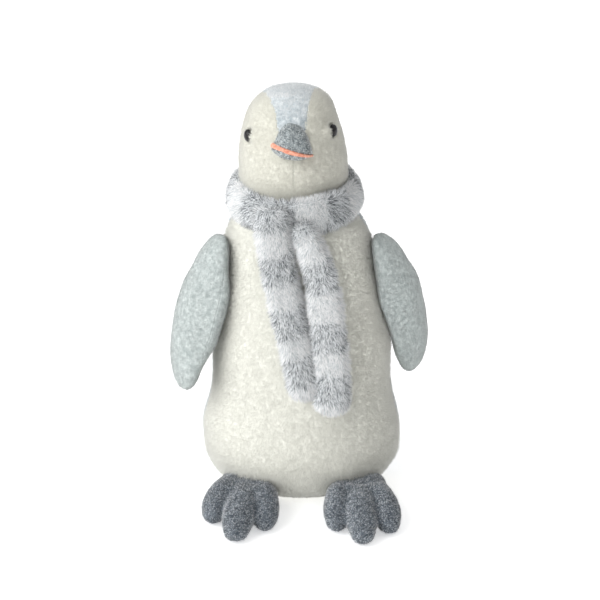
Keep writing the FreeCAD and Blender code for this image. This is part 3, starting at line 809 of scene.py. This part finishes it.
def head_pile(skin):
    """Pile on the whole head, radiating from the beak, sorted afterwards into the three covers."""
    pivot, _, _, up = head_frame()
    beak = box_middle("beak_filling")
    eyes = [(box_middle(e), front_of_eye(e)) for e in EYES]

    def keep(at):
        bare = np.linalg.norm(at - beak, axis=1) <= 11 * MM
        for eye, _ in eyes:
            bare |= np.linalg.norm(at - eye, axis=1) <= 4.0 * MM
        round_neck = np.linalg.norm((at - pivot)[:, :2], axis=1) < 25 * MM
        bare |= round_neck & (at[:, 2] < pivot[2] + 4 * MM)
        return ~bare & (at[:, 2] > pivot[2] - 14 * MM)

    roots = Roots(skin, 3.3, 300, keep)
    away = unit(roots.at - beak - np.array((0, -20 * MM, 0)))
    along = away - (away * roots.normal).sum(axis=1, keepdims=True) * roots.normal
    drift = waves(roots.at, 12 * MM, 31)[:, None] * np.array((0.12, 0, 0.12))
    lean = along * 0.3 - UP * 0.2 + drift
    inside = in_crown(roots.at) > 0
    # Fibres on both sides of the seam under the beak lean across and hide it.
    past_seam = roots.at[:, 0] - pivot[0]
    lean[:, 0] -= np.sign(past_seam) * 1.1 * bump(past_seam, 0, 1.4 * MM) * ~inside
    under_jaw = smoothstep(8 * MM, -6 * MM, roots.at[:, 2] - pivot[2])
    length = np.where(inside, 2.8 * MM, 2.5 * MM) + 1.5 * MM * under_jaw
    for eye, brow in eyes:
        gap = np.linalg.norm(roots.at - eye, axis=1)
        length *= 0.6 + 0.4 * smoothstep(4 * MM, 7 * MM, gap)
        on_brow = near(roots.at, [brow], 3.2 * MM)
        length += on_brow * 1.6 * MM
        lean += on_brow[:, None] * unit(eye - brow) * 0.9
    jobs = []
    for name, mask, colours, slot in (
            ("head_crown_pile", inside, "blue grey", "blue_grey_plush"),
            ("head_left_cheek_pile", ~inside & (past_seam >= 0), "face", "cream_plush"),
            ("head_right_cheek_pile", ~inside & (past_seam < 0), "face", "cream_plush")):
        some = roots.some(mask)
        tone = None
        if colours == "blue grey":
            # The crown's fibres get lighter higher up the head: painted light from above, blended half and
            # half with the marl's own tones.
            high = smoothstep(20 * MM, 60 * MM, (some.at - pivot) @ up)
            tone = heather(some, 320, 0.45) * 0.5 + 0.5 * high
        made = pile(name, some, length[mask], 0.46 * MM, lean[mask], 0.28, 310 + len(jobs), tone=tone,
                    soft=0.75, mapping=lambda at: round_about(at, pivot))
        jobs.append((made, colours, slot))
    return jobs


def finish_head():
    """Dresses the head; its pile grows on the uncut skin, so that it runs on over the seams."""
    skin, covers = build_head()
    for made, colours, slot in head_pile(skin):
        for fur in made:
            finish_piece(fur, colours + " pile", "head")
    bpy.data.objects.remove(skin)
    for cover, name, colours, slot in covers:
        thicken(cover, COVER)
        finish_piece(cover, colours + " backing", "head", [name + "_panel"])


# ---------------------------------------------------------------- beak

BEAK_ROLL = math.radians(18)
BEAK_PITCH = math.radians(14)
BEAK_YAW = math.radians(9)
BEAK_ROOT = 28 * MM  # how far in front of the head's axis the beak starts
BEAK_HALF_WIDTH = 13.2 * MM
UPPER_LENGTH, UPPER_HEIGHT, UPPER_DROP = 20 * MM, 16.4 * MM, 1.6 * MM
LOWER_LENGTH, LOWER_HEIGHT, LOWER_DROP = 17.8 * MM, 3.0 * MM, 2.2 * MM


def beak_place():
    """Turns (across, forward, up) in the beak's own frame into places in the scene."""
    _, across, front, up = head_frame()
    middle = box_middle("beak_filling")
    left = across * math.cos(BEAK_ROLL) - up * math.sin(BEAK_ROLL)
    above = np.cross(left, -front)
    ahead = front * math.cos(BEAK_PITCH) + above * math.sin(BEAK_PITCH)
    above = np.cross(left, -ahead)
    ahead = unit(ahead + left * math.tan(BEAK_YAW))
    origin = np.array((middle[0] + 0.9 * MM, 0, 0)) + UP * (middle[2] - 5.8 * MM) + front * 30 * MM
    return lambda p: origin + left * p[0] + ahead * (p[1] - 30 * MM) + above * p[2]


def beak_plan(t, length, width, height, drop):
    """How far forward, how wide, how high and how low the beak is, from its root to its tip."""
    forward = BEAK_ROOT + length * math.sin(t * math.pi / 2) ** 0.9
    taper = math.cos(t * math.pi / 2) ** 0.62
    rise = height * (1 - t) ** 0.85 + 2.4 * MM * math.cos(t * math.pi / 2) ** 0.4
    return forward, width * taper, rise * min(1, taper * 1.4), drop * t ** 1.5


def mandible(name, plan, upper, place, rows=22, columns=33):
    """Half of the beak: a dome over the mouth line when upper is 1, a bowl under it when it is -1."""
    points, faces = [], []
    rings = [plan(row / (rows - 1)) for row in range(rows)]
    shares = [-1 + 2 * column / (columns - 1) for column in range(columns)]
    for outer in (True, False):
        for forward, half_width, height, drop in rings:
            for s in shares:
                up = -drop * (1 - s * s * 0.55)
                up += upper * height * (1 - abs(s) ** 2.8) if outer else -upper * 0.2 * MM
                points.append(place((s * half_width - 0.2 * max(up, 0), forward, up)))
    under = rows * columns
    for start, flip in ((0, upper < 0), (under, upper > 0)):
        for row in range(rows - 1):
            for column in range(columns - 1):
                a = start + row * columns + column
                face = (a, a + 1, a + columns + 1, a + columns)
                faces.append(face[::-1] if flip else face)
    ring = [r * columns for r in range(rows - 1)] + [(rows - 1) * columns + c for c in range(columns - 1)]
    ring += [r * columns + columns - 1 for r in range(rows - 1, 0, -1)] + list(range(columns - 1, 0, -1))
    for a, b in zip(ring, ring[1:] + ring[:1]):
        face = (a, b, b + under, a + under)
        faces.append(face if upper < 0 else face[::-1])
    return face_out(add_mesh(name, points, faces))


def build_beak():
    """Upper and lower beak in grey terry with the coral strip of the mouth between them."""
    place = beak_place()
    upper = mandible("beak_upper", lambda t: beak_plan(t, UPPER_LENGTH, BEAK_HALF_WIDTH, UPPER_HEIGHT,
                                                       UPPER_DROP), 1, place)
    lower = mandible("beak_lower", lambda t: beak_plan(t, LOWER_LENGTH, BEAK_HALF_WIDTH, LOWER_HEIGHT,
                                                       LOWER_DROP), -1,
                     lambda p: place((p[0] - 0.6 * MM, p[1], p[2] - 2.6 * MM + 0.10 * p[0])))
    strip = mouth_strip(place)
    for number, (obj, panel) in enumerate(((upper, "beak_upper_cover"), (lower, "beak_lower_cover"))):
        soft = obj.modifiers.new("round", "SUBSURF")
        soft.levels = soft.render_levels = 1
        at = get_points(obj.data)
        flat_map(obj.data, at[:, 0], at[:, 2])
        roots = Roots(obj, 3.6, 400 + number, lambda at: at[:, 1] < -31 * MM)
        fuzz = pile(obj.name + "_terry", roots, 1.2 * MM, 0.66 * MM, np.array((0, 0, -0.15)), 0.7,
                    410 + number, tone=heather(roots, 420 + number, 0.4), mapping=by_axes(0, 2),
                    bury=0.3 * MM)
        finish_piece(obj, "beak backing", "head", [panel])
        for piece in fuzz:
            finish_piece(piece, "beak pile", "head")
    at = get_points(strip.data)
    flat_map(strip.data, at[:, 0], at[:, 2])
    finish_piece(strip, "coral cloth", "head", ["mouth_strip"])
    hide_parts("beak_filling")


def mouth_strip(place, steps=40, around=10):
    """The coral lip that shows between the two halves, thicker on the penguin's right."""
    points, faces = [], []
    for step in range(steps):
        share = step / (steps - 1)
        a = math.pi * (share - 0.5)
        ahead = max(math.cos(a), 0)
        thick = (2.9 - 1.7 * smoothstep(0.25, 0.95, share)) * MM
        forward = BEAK_ROOT + 18.9 * MM * ahead ** 0.9
        across = 13.5 * MM * math.sin(a)
        middle = -1.9 * MM * ahead ** 1.3 - 1.2 * MM
        for k in range(around):
            turn = 2 * math.pi * k / around
            out = 1.6 * MM * math.cos(turn)
            points.append(place((across + out * math.sin(a), forward + out * math.cos(a),
                                 middle + thick * 0.62 * math.sin(turn))))
    for step in range(steps - 1):
        for k in range(around):
            a, b = step * around + k, step * around + (k + 1) % around
            faces.append((a, b, b + around, a + around))
    faces.append(tuple(reversed(range(around))))
    faces.append(tuple((steps - 1) * around + k for k in range(around)))
    return face_out(add_mesh("mouth", points, faces))


# ---------------------------------------------------------------- flippers

def long_axis(node_name):
    """The middle of a CAD node and its long, broad and thin directions."""
    points = get_points(NODES[node_name].data)
    middle = points.mean(axis=0)
    spread = np.linalg.eigh(np.cov((points - middle).T))[1]
    return middle, spread[:, 2], spread[:, 1], spread[:, 0]


FLIPPER_SEAM = -2.5 * MM  # how far from the middle the seam lies, towards the body
FLIPPER_SHORTENED = 0.13  # share taken off the lower end
TOP_RAISED = 5.0 * MM  # at the front of the top
FRONT_FULLER = 3.5 * MM  # how much farther round the body the front edge reaches
MOST_OUT, MOST_IN = 4 * MM, 7 * MM  # how far a place may move as the flipper is laid on the body


def build_flipper(side):
    """One flipper, laid on the side of the body; returns its form, which the body's pile grows beside."""
    outer, inner = f"flipper_{side}_outer_panel", f"flipper_{side}_inner_panel"
    filling = f"flipper_{side}_filling"
    middle, along, broad, thin = long_axis(filling)
    along = along if along[2] > 0 else -along
    away = middle - np.array((0, 0, middle[2]))
    thin = thin if np.dot(thin, away) > 0 else -thin
    form = form_of(outer, inner)
    reach = 40 * MM
    points, faces = wrap(form, middle - along * reach, middle + along * reach, 60, 56, side=-thin, ends=0.2)
    skin = add_mesh("flipper_skin", points, faces)
    relax(skin.data, 3)
    points, normals = get_points(skin.data), get_normals(skin.data)
    points -= normals * 0.3 * MM
    set_points(skin.data, points)
    offset = points - middle
    down = -(offset @ along)
    seam = bump(offset @ thin - FLIPPER_SEAM, 0, 1.6 * MM)
    root = smoothstep(-34 * MM, -52 * MM, down)
    puff(skin, np.clip(seam * 0.5 + root, 0, 1), FULLEST, 1.2 * MM)
    points, normals = get_points(skin.data), get_normals(skin.data)
    # The top leans in to the shoulder where it is sewn on, and the lower end is a broad round blade.
    hinge = PIVOTS[f"flipper_{side}_raise"]
    inward = np.array((-np.sign(hinge[0]), 0, 0))
    depth = (points - middle) @ thin
    outer_share = (depth - depth.min()) / np.ptp(depth)
    low_end = np.maximum(down - 15 * MM, 0)
    points += along * (low_end * FLIPPER_SHORTENED)[:, None]
    top = smoothstep(-20 * MM, -46 * MM, down)
    ahead = broad if broad[1] < 0 else -broad
    forward = (points - middle) @ ahead
    points += inward * (3.2 * MM * outer_share)[:, None]
    points += UP * (TOP_RAISED * top * smoothstep(-12 * MM, 14 * MM, forward))[:, None]
    points += np.outer(0.1 * forward * smoothstep(15 * MM, 45 * MM, down), ahead)
    front_edge = smoothstep(-4 * MM, 14 * MM, forward)
    points += np.outer(FRONT_FULLER * front_edge * smoothstep(24 * MM, -10 * MM, down), ahead)
    edge = smoothstep(0, 16 * MM, forward) * smoothstep(42 * MM, 12 * MM, down)
    held = np.maximum(top, edge)
    trunk = form_of("body_front_panel", "body_back_panel")
    for i in np.flatnonzero(held > 0.01):
        outward = unit(points[i] * (1, 1, 0))
        start = points[i] + outward * 60 * MM
        found = trunk.ray_cast(Vector(start), Vector(-outward), 0.2)
        if found[0] is not None:
            gap = np.dot(points[i] - np.array(found[0]), outward)
            wanted = (0.5 + (8.5 + 10.0 * top[i]) * outer_share[i]) * MM
            share = held[i] * (1 - outer_share[i] * top[i])
            points[i] -= outward * np.clip(gap - wanted, -MOST_OUT, MOST_IN) * share
    points -= normals * (0.15 * MM * seam)[:, None]
    points -= np.outer(0.5 * MM * waves(points, 30 * MM, 21), thin)
    set_points(skin.data, points)
    start, end = hinge + UP * 3 * MM, hinge - along * 20 * MM - UP * 2 * MM
    for number, (label, panel, keep) in enumerate((
            ("outer", outer, lambda m: (m - middle) @ thin >= FLIPPER_SEAM),
            ("inner", inner, lambda m: (m - middle) @ thin < FLIPPER_SEAM))):
        cover = part_of(skin, f"flipper_{side}_{label}_cover", keep)
        at = get_points(cover.data)
        flat_map(cover.data, (at - middle) @ broad, (at - middle) @ along)
        seed = 500 + number + 10 * (side == "left")
        roots = Roots(cover, 3.0, seed)
        lean = -along * 0.4 + waves(roots.at, 5 * MM, 41)[:, None] * 0.3 * broad
        fur = pile(f"flipper_{side}_{label}_pile", roots, 1.7 * MM, 0.5 * MM, lean, 0.4, seed + 40,
                   mapping=lambda at: (((at - middle) @ broad) / 60 / MM + 0.5,
                                       ((at - middle) @ along) / 150 / MM + 0.5))
        thicken(cover, THIN_COVER)
        for obj, material in [(cover, "pale backing")] + [(piece, "pale pile") for piece in fur]:
            finish_piece(obj, material)
            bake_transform(obj)
        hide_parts(*((panel, filling) if label == "inner" else (panel,)))
    form = BVHTree.FromObject(skin, bpy.context.evaluated_depsgraph_get())
    bpy.data.objects.remove(skin)
    return form


# ---------------------------------------------------------------- feet

def melt(name, balls, voxel):
    """One closed skin from overlapping balls, each a middle and three radii."""
    points, faces = [], []
    rows, columns = 10, 16
    for middle, radii in balls:
        start = len(points)
        for row in range(rows + 1):
            lean = math.pi * row / rows
            for column in range(columns):
                turn = 2 * math.pi * column / columns
                direction = np.array((math.sin(lean) * math.cos(turn), math.sin(lean) * math.sin(turn),
                                      math.cos(lean)))
                points.append(tuple(np.array(middle) + direction * np.array(radii)))
        for row in range(rows):
            for column in range(columns):
                a, b = start + row * columns + column, start + row * columns + (column + 1) % columns
                faces.append((a, a + columns, b + columns, b))
    base = bpy.data.meshes.new(name)
    base.from_pydata(points, [], faces)
    obj = in_scene(name, base)
    remesh = obj.modifiers.new("melt", "REMESH")
    remesh.mode = "VOXEL"
    remesh.voxel_size = voxel
    melted = bpy.data.meshes.new_from_object(obj.evaluated_get(bpy.context.evaluated_depsgraph_get()))
    bpy.data.objects.remove(obj)
    melted.shade_smooth()
    return in_scene(name, melted)


# For each foot, its turn in degrees, and for each toe, in mm: how far across its back and its tip are, how far
# ahead its tip reaches, half its width, and how far it is raised.
TOES = {
    "left": (1.0, ((0.0, 0.6, 54.0, 11.6, 0.6),
                   (12.0, 20.0, 39.5, 10.2, 0.0),
                   (-11.5, -17.0, 35.5, 9.8, 0.0))),
    "right": (-6.5, ((0.0, 0.2, 50.5, 11.8, 0.6),
                     (12.5, 19.4, 27.0, 10.6, 0.0),
                     (-11.5, -18.2, 33.0, 9.8, 0.0))),
}
HEEL = 19  # mm behind the ankle where the toes' balls start
INSTEP_TALL = 10.4  # half the height of the foot at its back, in mm
SOLE_EDGE = 2.6 * MM  # height of the seam round the sole


def build_foot(side):
    """One foot: three toes melted out of rows of balls, cut into a top and a sole."""
    sign = 1 if side == "left" else -1
    ankle = PIVOTS[f"foot_{side}_flex"]
    floor = np.array(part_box(f"foot_{side}_sole_panel")[0])[2]
    turn, toes = math.radians(TOES[side][0]), TOES[side][1]
    balls = []

    def add_ball(across, ahead, up, radius, tall):
        x = (across * math.cos(turn) + ahead * math.sin(turn)) * MM
        y = (-ahead * math.cos(turn) + across * math.sin(turn)) * MM
        balls.append(((ankle[0] + x, ankle[1] + y, up * MM), (radius * MM, radius * MM, tall * MM)))

    for back, tip, reach, half_width, raised in toes:
        for step in range(19):
            t = step / 18
            swell = 0.84 + 0.2 * math.sin(math.pi * min(1, t * 0.9 + 0.06)) - 0.12 * smoothstep(0.85, 1, t)
            radius = half_width * swell
            toe_tall = (12.6 - 3.0 * t) * swell
            across = (back + (tip - back) * smoothstep(0.1, 1, t)) * sign
            ahead = -HEEL + (reach - radius + HEEL) * t
            tall = INSTEP_TALL * swell + (toe_tall - INSTEP_TALL * swell) * smoothstep(0.2, 0.7, t)
            up = 10.5 + (tall * 0.93 + raised - 10.5) * smoothstep(0.2, 1, t)
            add_ball(across, ahead, max(up, tall), radius, tall)
    for across in (-9, 0, 9):
        for ahead in (-14, -6, 2):
            add_ball(across * sign, ahead, 11, 12, 10.8)
    skin = melt("foot_skin", balls, 1.3 * MM)
    relax(skin.data, 4)
    points = get_points(skin.data)
    flat = 1 - smoothstep(1.5 * MM, 4 * MM, points[:, 2])
    puff(skin, np.clip(flat, 0, 1), 2.0, 0.7 * MM, frames=8)
    points, normals = get_points(skin.data), get_normals(skin.data)
    points += normals * (0.25 * MM * waves(points, 12 * MM, 51))[:, None]
    points[:, 2] = np.maximum(points[:, 2], floor)
    set_points(skin.data, points)
    for label, keep in (("top", lambda m: m[:, 2] > SOLE_EDGE), ("sole", lambda m: m[:, 2] <= SOLE_EDGE)):
        cover = part_of(skin, f"foot_{side}_{label}_cover", keep)
        at = get_points(cover.data)
        flat_map(cover.data, at[:, 0], at[:, 1])
        made = [(cover, "dark backing")]
        if label == "top":
            roots = Roots(cover, 3.4, 600 + sign)
            terry = pile(f"foot_{side}_terry", roots, 1.3 * MM, 0.6 * MM, np.array((0, -0.2, -0.1)), 0.6,
                         610 + sign, tone=heather(roots, 620 + sign, 0.36), mapping=by_axes(0, 1),
                         bury=0.3 * MM)
            made += [(piece, "dark pile") for piece in terry]
        thicken(cover, THIN_COVER)
        for obj, material in made:
            finish_piece(obj, material)
            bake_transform(obj)
        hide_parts(f"foot_{side}_{label}_panel")
    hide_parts(f"foot_{side}_filling")
    bpy.data.objects.remove(skin)


# ---------------------------------------------------------------- scarf

def tube(name, path, half_width, half_thick, broad, around=28, closed=False, square=2.6):
    """A flat padded strip along a path. broad gives the direction of its width at each point."""
    count = len(path)
    points, faces = [], []
    if closed:
        ahead = unit(np.roll(path, -1, axis=0) - np.roll(path, 1, axis=0))
    else:
        ahead = unit(np.gradient(path, axis=0))
    broad = unit(broad - (broad * ahead).sum(axis=1, keepdims=True) * ahead)
    thin = np.cross(ahead, broad)
    for step in range(count):
        for k in range(around):
            turn = 2 * math.pi * k / around
            c, s = math.cos(turn), math.sin(turn)
            x = abs(c) ** (2 / square) * math.copysign(1, c) * half_width[step]
            y = abs(s) ** (2 / square) * math.copysign(1, s) * half_thick[step]
            points.append(path[step] + broad[step] * x + thin[step] * y)
    for step in range(count if closed else count - 1):
        following = (step + 1) % count
        for k in range(around):
            a, b = step * around + k, step * around + (k + 1) % around
            c, d = following * around + (k + 1) % around, following * around + k
            faces.append((a, d, c, b))
    if not closed:
        faces.append(tuple(range(around)))
        faces.append(tuple((count - 1) * around + k for k in reversed(range(around))))
    return face_out(add_mesh(name, points, faces))


def along_path(path, at):
    """How far along a path each place lies, in metres."""
    lengths = np.concatenate([[0], np.cumsum(np.linalg.norm(np.diff(path, axis=0), axis=1))])
    tree = KDTree(len(path))
    for number, place in enumerate(path):
        tree.insert(Vector(place), number)
    tree.balance()
    return np.array([lengths[tree.find(Vector(p))[1]] for p in at])


def spline(points, count):
    """A smooth path through a few points."""
    points = np.array(points, float)
    knots = np.concatenate([[0], np.cumsum(np.linalg.norm(np.diff(points, axis=0), axis=1))])
    ghost = np.concatenate([[2 * points[0] - points[1]], points, [2 * points[-1] - points[-2]]])
    result = []
    for t in np.linspace(0, knots[-1], count):
        i = min(np.searchsorted(knots, t, side="right") - 1, len(points) - 2)
        u = (t - knots[i]) / (knots[i + 1] - knots[i])
        a, b, c, d = ghost[i:i + 4]
        result.append(0.5 * (2 * b + (c - a) * u + (2 * a - 5 * b + 4 * c - d) * u * u
                             + (3 * b - a - 3 * c + d) * u ** 3))
    return np.array(result)


def soft_stripe(value, seed, roots, blur=1.6 * MM):
    """Turns a signed distance from a stripe's edge into 0..1 with a ragged edge."""
    ragged = value + waves(roots.at, 5 * MM, seed) * 1.2 * MM
    return smoothstep(-blur, blur, ragged)


def stripes_at(distance, edges):
    """Signed distance inside the white stripes; edges lists where each of them starts and ends."""
    inside = np.full(len(distance), -1.0)
    for start, stop in edges:
        inside = np.maximum(inside, np.minimum(distance - start, stop - distance))
    return inside


def shag(name, roots, lean, white, seed, mapping, length):
    """The scarf's long pile, drawn into small tufts."""
    return pile(name, roots, length, 0.56 * MM, lean, 0.55, seed, segments=2, gather=0.4, spacing=0.14,
                curl=0.08, tone=heather(roots, seed + 1, 0.6), extra={"stripe": white}, mapping=mapping,
                bury=0.8 * MM)


# How each tail hangs from the loop, and where its white stripes start and end along it, in mm.
TAIL_ROUTES = {
    "right": [(-21, -50.5, 224), (-19.5, -53.5, 207), (-16.5, -52.8, 186), (-11.5, -55, 160),
              (-5.5, -58.4, 134), (-0.9, -61.2, 112), (3.4, -63.6, 91)],
    "left": [(-1, -49.5, 211), (5.5, -52.5, 199), (12.0, -53.6, 180), (16.0, -56.2, 158),
             (18.5, -59.2, 134), (21.0, -62.4, 108), (21.0, -65.0, 80)],
}
TAIL_WHITES = {
    "right": [(13, 30), (52, 70), (91, 106), (127, 150)],
    "left": [(6, 25), (47, 69), (90, 106), (128, 150)],
}
TAIL_SHAG, TAIL_SHAG_BEHIND = 6.6 * MM, 3.6 * MM
ROUND_FROM = 0.94  # share of a tail's length where its round end starts


def build_scarf_tails():
    """Two flat tails with round ends; the right one is widest at its top, the left one lower down."""
    for side, seed in (("right", 700), ("left", 720)):
        path = spline(np.array(TAIL_ROUTES[side]) * MM, 64)
        share = np.linspace(0, 1, len(path))
        round_end = np.sqrt(np.clip(1 - ((share - ROUND_FROM) / 0.06).clip(0, 1) ** 2, 0.02, 1))
        if side == "right":
            wide = (9.8 - 1.0 * share) * MM * round_end
        else:
            wide = (6.8 + 3.2 * smoothstep(0, 0.5, share)) * MM * round_end
        thick = 4.3 * MM * round_end
        broad = np.tile((1.0, 0.12 if side == "right" else -0.08, 0.0), (len(path), 1))
        skin = tube(f"scarf_{side}_tail_cloth", path, wide, thick, broad)
        flat_map(skin.data, get_points(skin.data)[:, 0], get_points(skin.data)[:, 2])
        roots = Roots(skin, 4.4, seed)
        distance = along_path(path, roots.at) / MM
        white = soft_stripe(stripes_at(distance, TAIL_WHITES[side]) * MM, seed, roots)
        down = unit(np.array((0.22, -0.1, -1.0)))
        sideways = waves(roots.at, 13 * MM, seed + 3)[:, None] * np.array((0.35, 0, 0.2))
        behind = roots.normal[:, 1] > 0.5
        lean = down * 0.7 + sideways
        length = np.where(behind, TAIL_SHAG_BEHIND, TAIL_SHAG)
        fur = shag(f"scarf_{side}_tail_pile", roots, lean, white, seed + 5, by_axes(0, 2), length)
        for obj, material in [(skin, "scarf backing")] + [(piece, "scarf pile") for piece in fur]:
            finish_piece(obj, material)
            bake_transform(obj)
        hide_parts(f"scarf_{side}_tail")


LOOP_TILT = math.radians(10)  # the loop lies higher at the back
LOOP_LEAN = math.radians(16)  # its strip leans in at the top, against the neck of the head
LOOP_INSET = 7.6 * MM  # from the outside of the CAD ring to the middle of the strip
STRIPE = 27.0  # degrees round the neck
FRONT_BLOCK = 54  # degrees of grey in front, where the tails hang


def build_scarf_loop():
    """The striped ring round the neck."""
    low, high = (np.array(p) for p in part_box("scarf_loop"))
    middle = (low + high) / 2 + np.array((1.2 * MM, 0, 0))
    radius = (high[0] - low[0]) / 2 - LOOP_INSET
    turns = np.linspace(0, 2 * math.pi, 120, endpoint=False)
    ahead = -np.cos(turns)
    path = np.stack([np.sin(turns), ahead * math.cos(LOOP_TILT), ahead * math.sin(LOOP_TILT)], axis=1)
    wobble = 1 + 0.02 * np.sin(3 * turns + 1)
    path = middle + path * (radius * wobble)[:, None]
    path[:, 2] += 1.2 * MM * np.sin(2 * turns + 0.6)
    outward = unit((path - middle) * (1, 1, 0))
    upright = np.tile((0, -math.sin(LOOP_TILT), math.cos(LOOP_TILT)), (len(path), 1))
    broad = upright * math.cos(LOOP_LEAN) - outward * math.sin(LOOP_LEAN)
    wide, thick = (9.7 + 0.8 * np.sin(4 * turns)) * MM, np.full(len(path), 3.6 * MM)
    skin = tube("scarf_loop_cloth", path, wide, thick, broad, closed=True)
    flat_map(skin.data, *round_about(get_points(skin.data), middle))
    roots = Roots(skin, 4.2, 740)
    offset = roots.at - middle
    angle = np.degrees(np.arctan2(offset[:, 0], -offset[:, 1]))
    phase = np.mod(np.where(angle >= 0, angle, -FRONT_BLOCK - angle), 2 * STRIPE)
    inside_white = np.minimum(phase, STRIPE - phase)
    inside_grey = np.minimum(phase - STRIPE, 2 * STRIPE - phase)
    signed = np.where(phase < STRIPE, inside_white, -inside_grey)
    in_block = (angle < 0) & (angle > -FRONT_BLOCK)
    signed = np.where(in_block, -np.minimum(-angle, angle + FRONT_BLOCK), signed)
    white = soft_stripe(signed * 0.8 * MM, 741, roots)
    outward = unit(offset * (1, 1, 0))
    drift = waves(roots.at, 13 * MM, 742)[:, None] * np.array((0.3, 0.3, 0.3))
    lean = -UP * 0.5 + outward * 0.1 + drift
    inner = (roots.normal * outward).sum(axis=1) < -0.5
    top = smoothstep(0.3, 0.9, roots.normal[:, 2])
    lean += (UP * 0.3 - outward * 0.35) * top[:, None]
    ahead = smoothstep(-0.1, 0.8, (outward * FRONT).sum(axis=1))
    length = np.where(inner, 3.5 * MM, (5.0 + 1.8 * ahead) * MM - 1.0 * MM * top)
    fur = shag("scarf_loop_pile", roots, lean, white, 745, lambda at: round_about(at, middle), length)
    finish_piece(skin, "scarf backing", "torso", ["scarf_loop"])
    for piece in fur:
        finish_piece(piece, "scarf pile", "torso")


# ---------------------------------------------------------------- inner pieces

def finish_inner():
    """The CAD pieces that stay: the eyes, and what is inside the covers."""
    looks = {"eye_left": "black eye", "eye_right": "black eye", "eye_left_washer": "washer",
             "eye_right_washer": "washer", "body_filling": "filling", "head_filling": "filling",
             "neck_wad": "filling", "neck_stem": "filling", "pellet_pouch": "pouch", "pellets": "pellets"}
    for name, material in looks.items():
        for place in NODES[name].material_slots:
            place.material = MATERIALS[material]


# ---------------------------------------------------------------- scene

FLOOR_REACH = 40  # metres, far past the edges of the picture
FLOOR_HEIGHT = -0.0004  # just under the soles
SUN_HEADING = (1.35, 0.58, -0.85)  # from the upper left in front
ELEVATION, DISTANCE = math.radians(21), 1.1  # of the camera, seen from its target
TARGET = Vector((-0.0011, 0, 0.139))


def build_stage():
    """A pale floor, soft studio light and the camera of someone looking down a little."""
    corners = ((-1, -1), (1, -1), (1, 1), (-1, 1))
    floor = add_mesh("floor", [(x * FLOOR_REACH, y * FLOOR_REACH, FLOOR_HEIGHT) for x, y in corners],
                     [(0, 1, 2, 3)])
    white, _, _ = new_material("floor", base_color=(0.97, 0.97, 0.97, 1), roughness=0.9,
                               emission_color=(1, 1, 1, 1), emission_strength=0.45)
    floor.data.materials.append(white)
    world = bpy.data.worlds.new("studio")
    bpy.context.scene.world = world
    world.use_nodes = True
    world.node_tree.nodes["Background"].inputs["Color"].default_value = (1, 1, 1, 1)
    world.node_tree.nodes["Background"].inputs["Strength"].default_value = 0.7
    light = bpy.data.lights.new("key", "SUN")
    light.energy = 2.2
    light.angle = math.radians(60)
    key = in_scene("key", light)
    key.rotation_euler = Vector(SUN_HEADING).to_track_quat("-Z", "Y").to_euler()
    camera_data = bpy.data.cameras.new("camera")
    camera_data.sensor_width = 36
    camera_data.lens = 90.4
    camera = in_scene("camera", camera_data)
    camera.location = TARGET + Vector((0, -math.cos(ELEVATION), math.sin(ELEVATION))) * DISTANCE
    camera.rotation_euler = (math.pi / 2 - ELEVATION, 0, 0)
    bpy.context.scene.camera = camera
    bpy.context.scene.view_settings.view_transform = "Standard"


build_stage()
finish_body([build_flipper(which) for which in SIDES])
finish_head()
build_beak()
for which in SIDES:
    build_foot(which)
build_scarf_loop()
build_scarf_tails()
finish_inner()
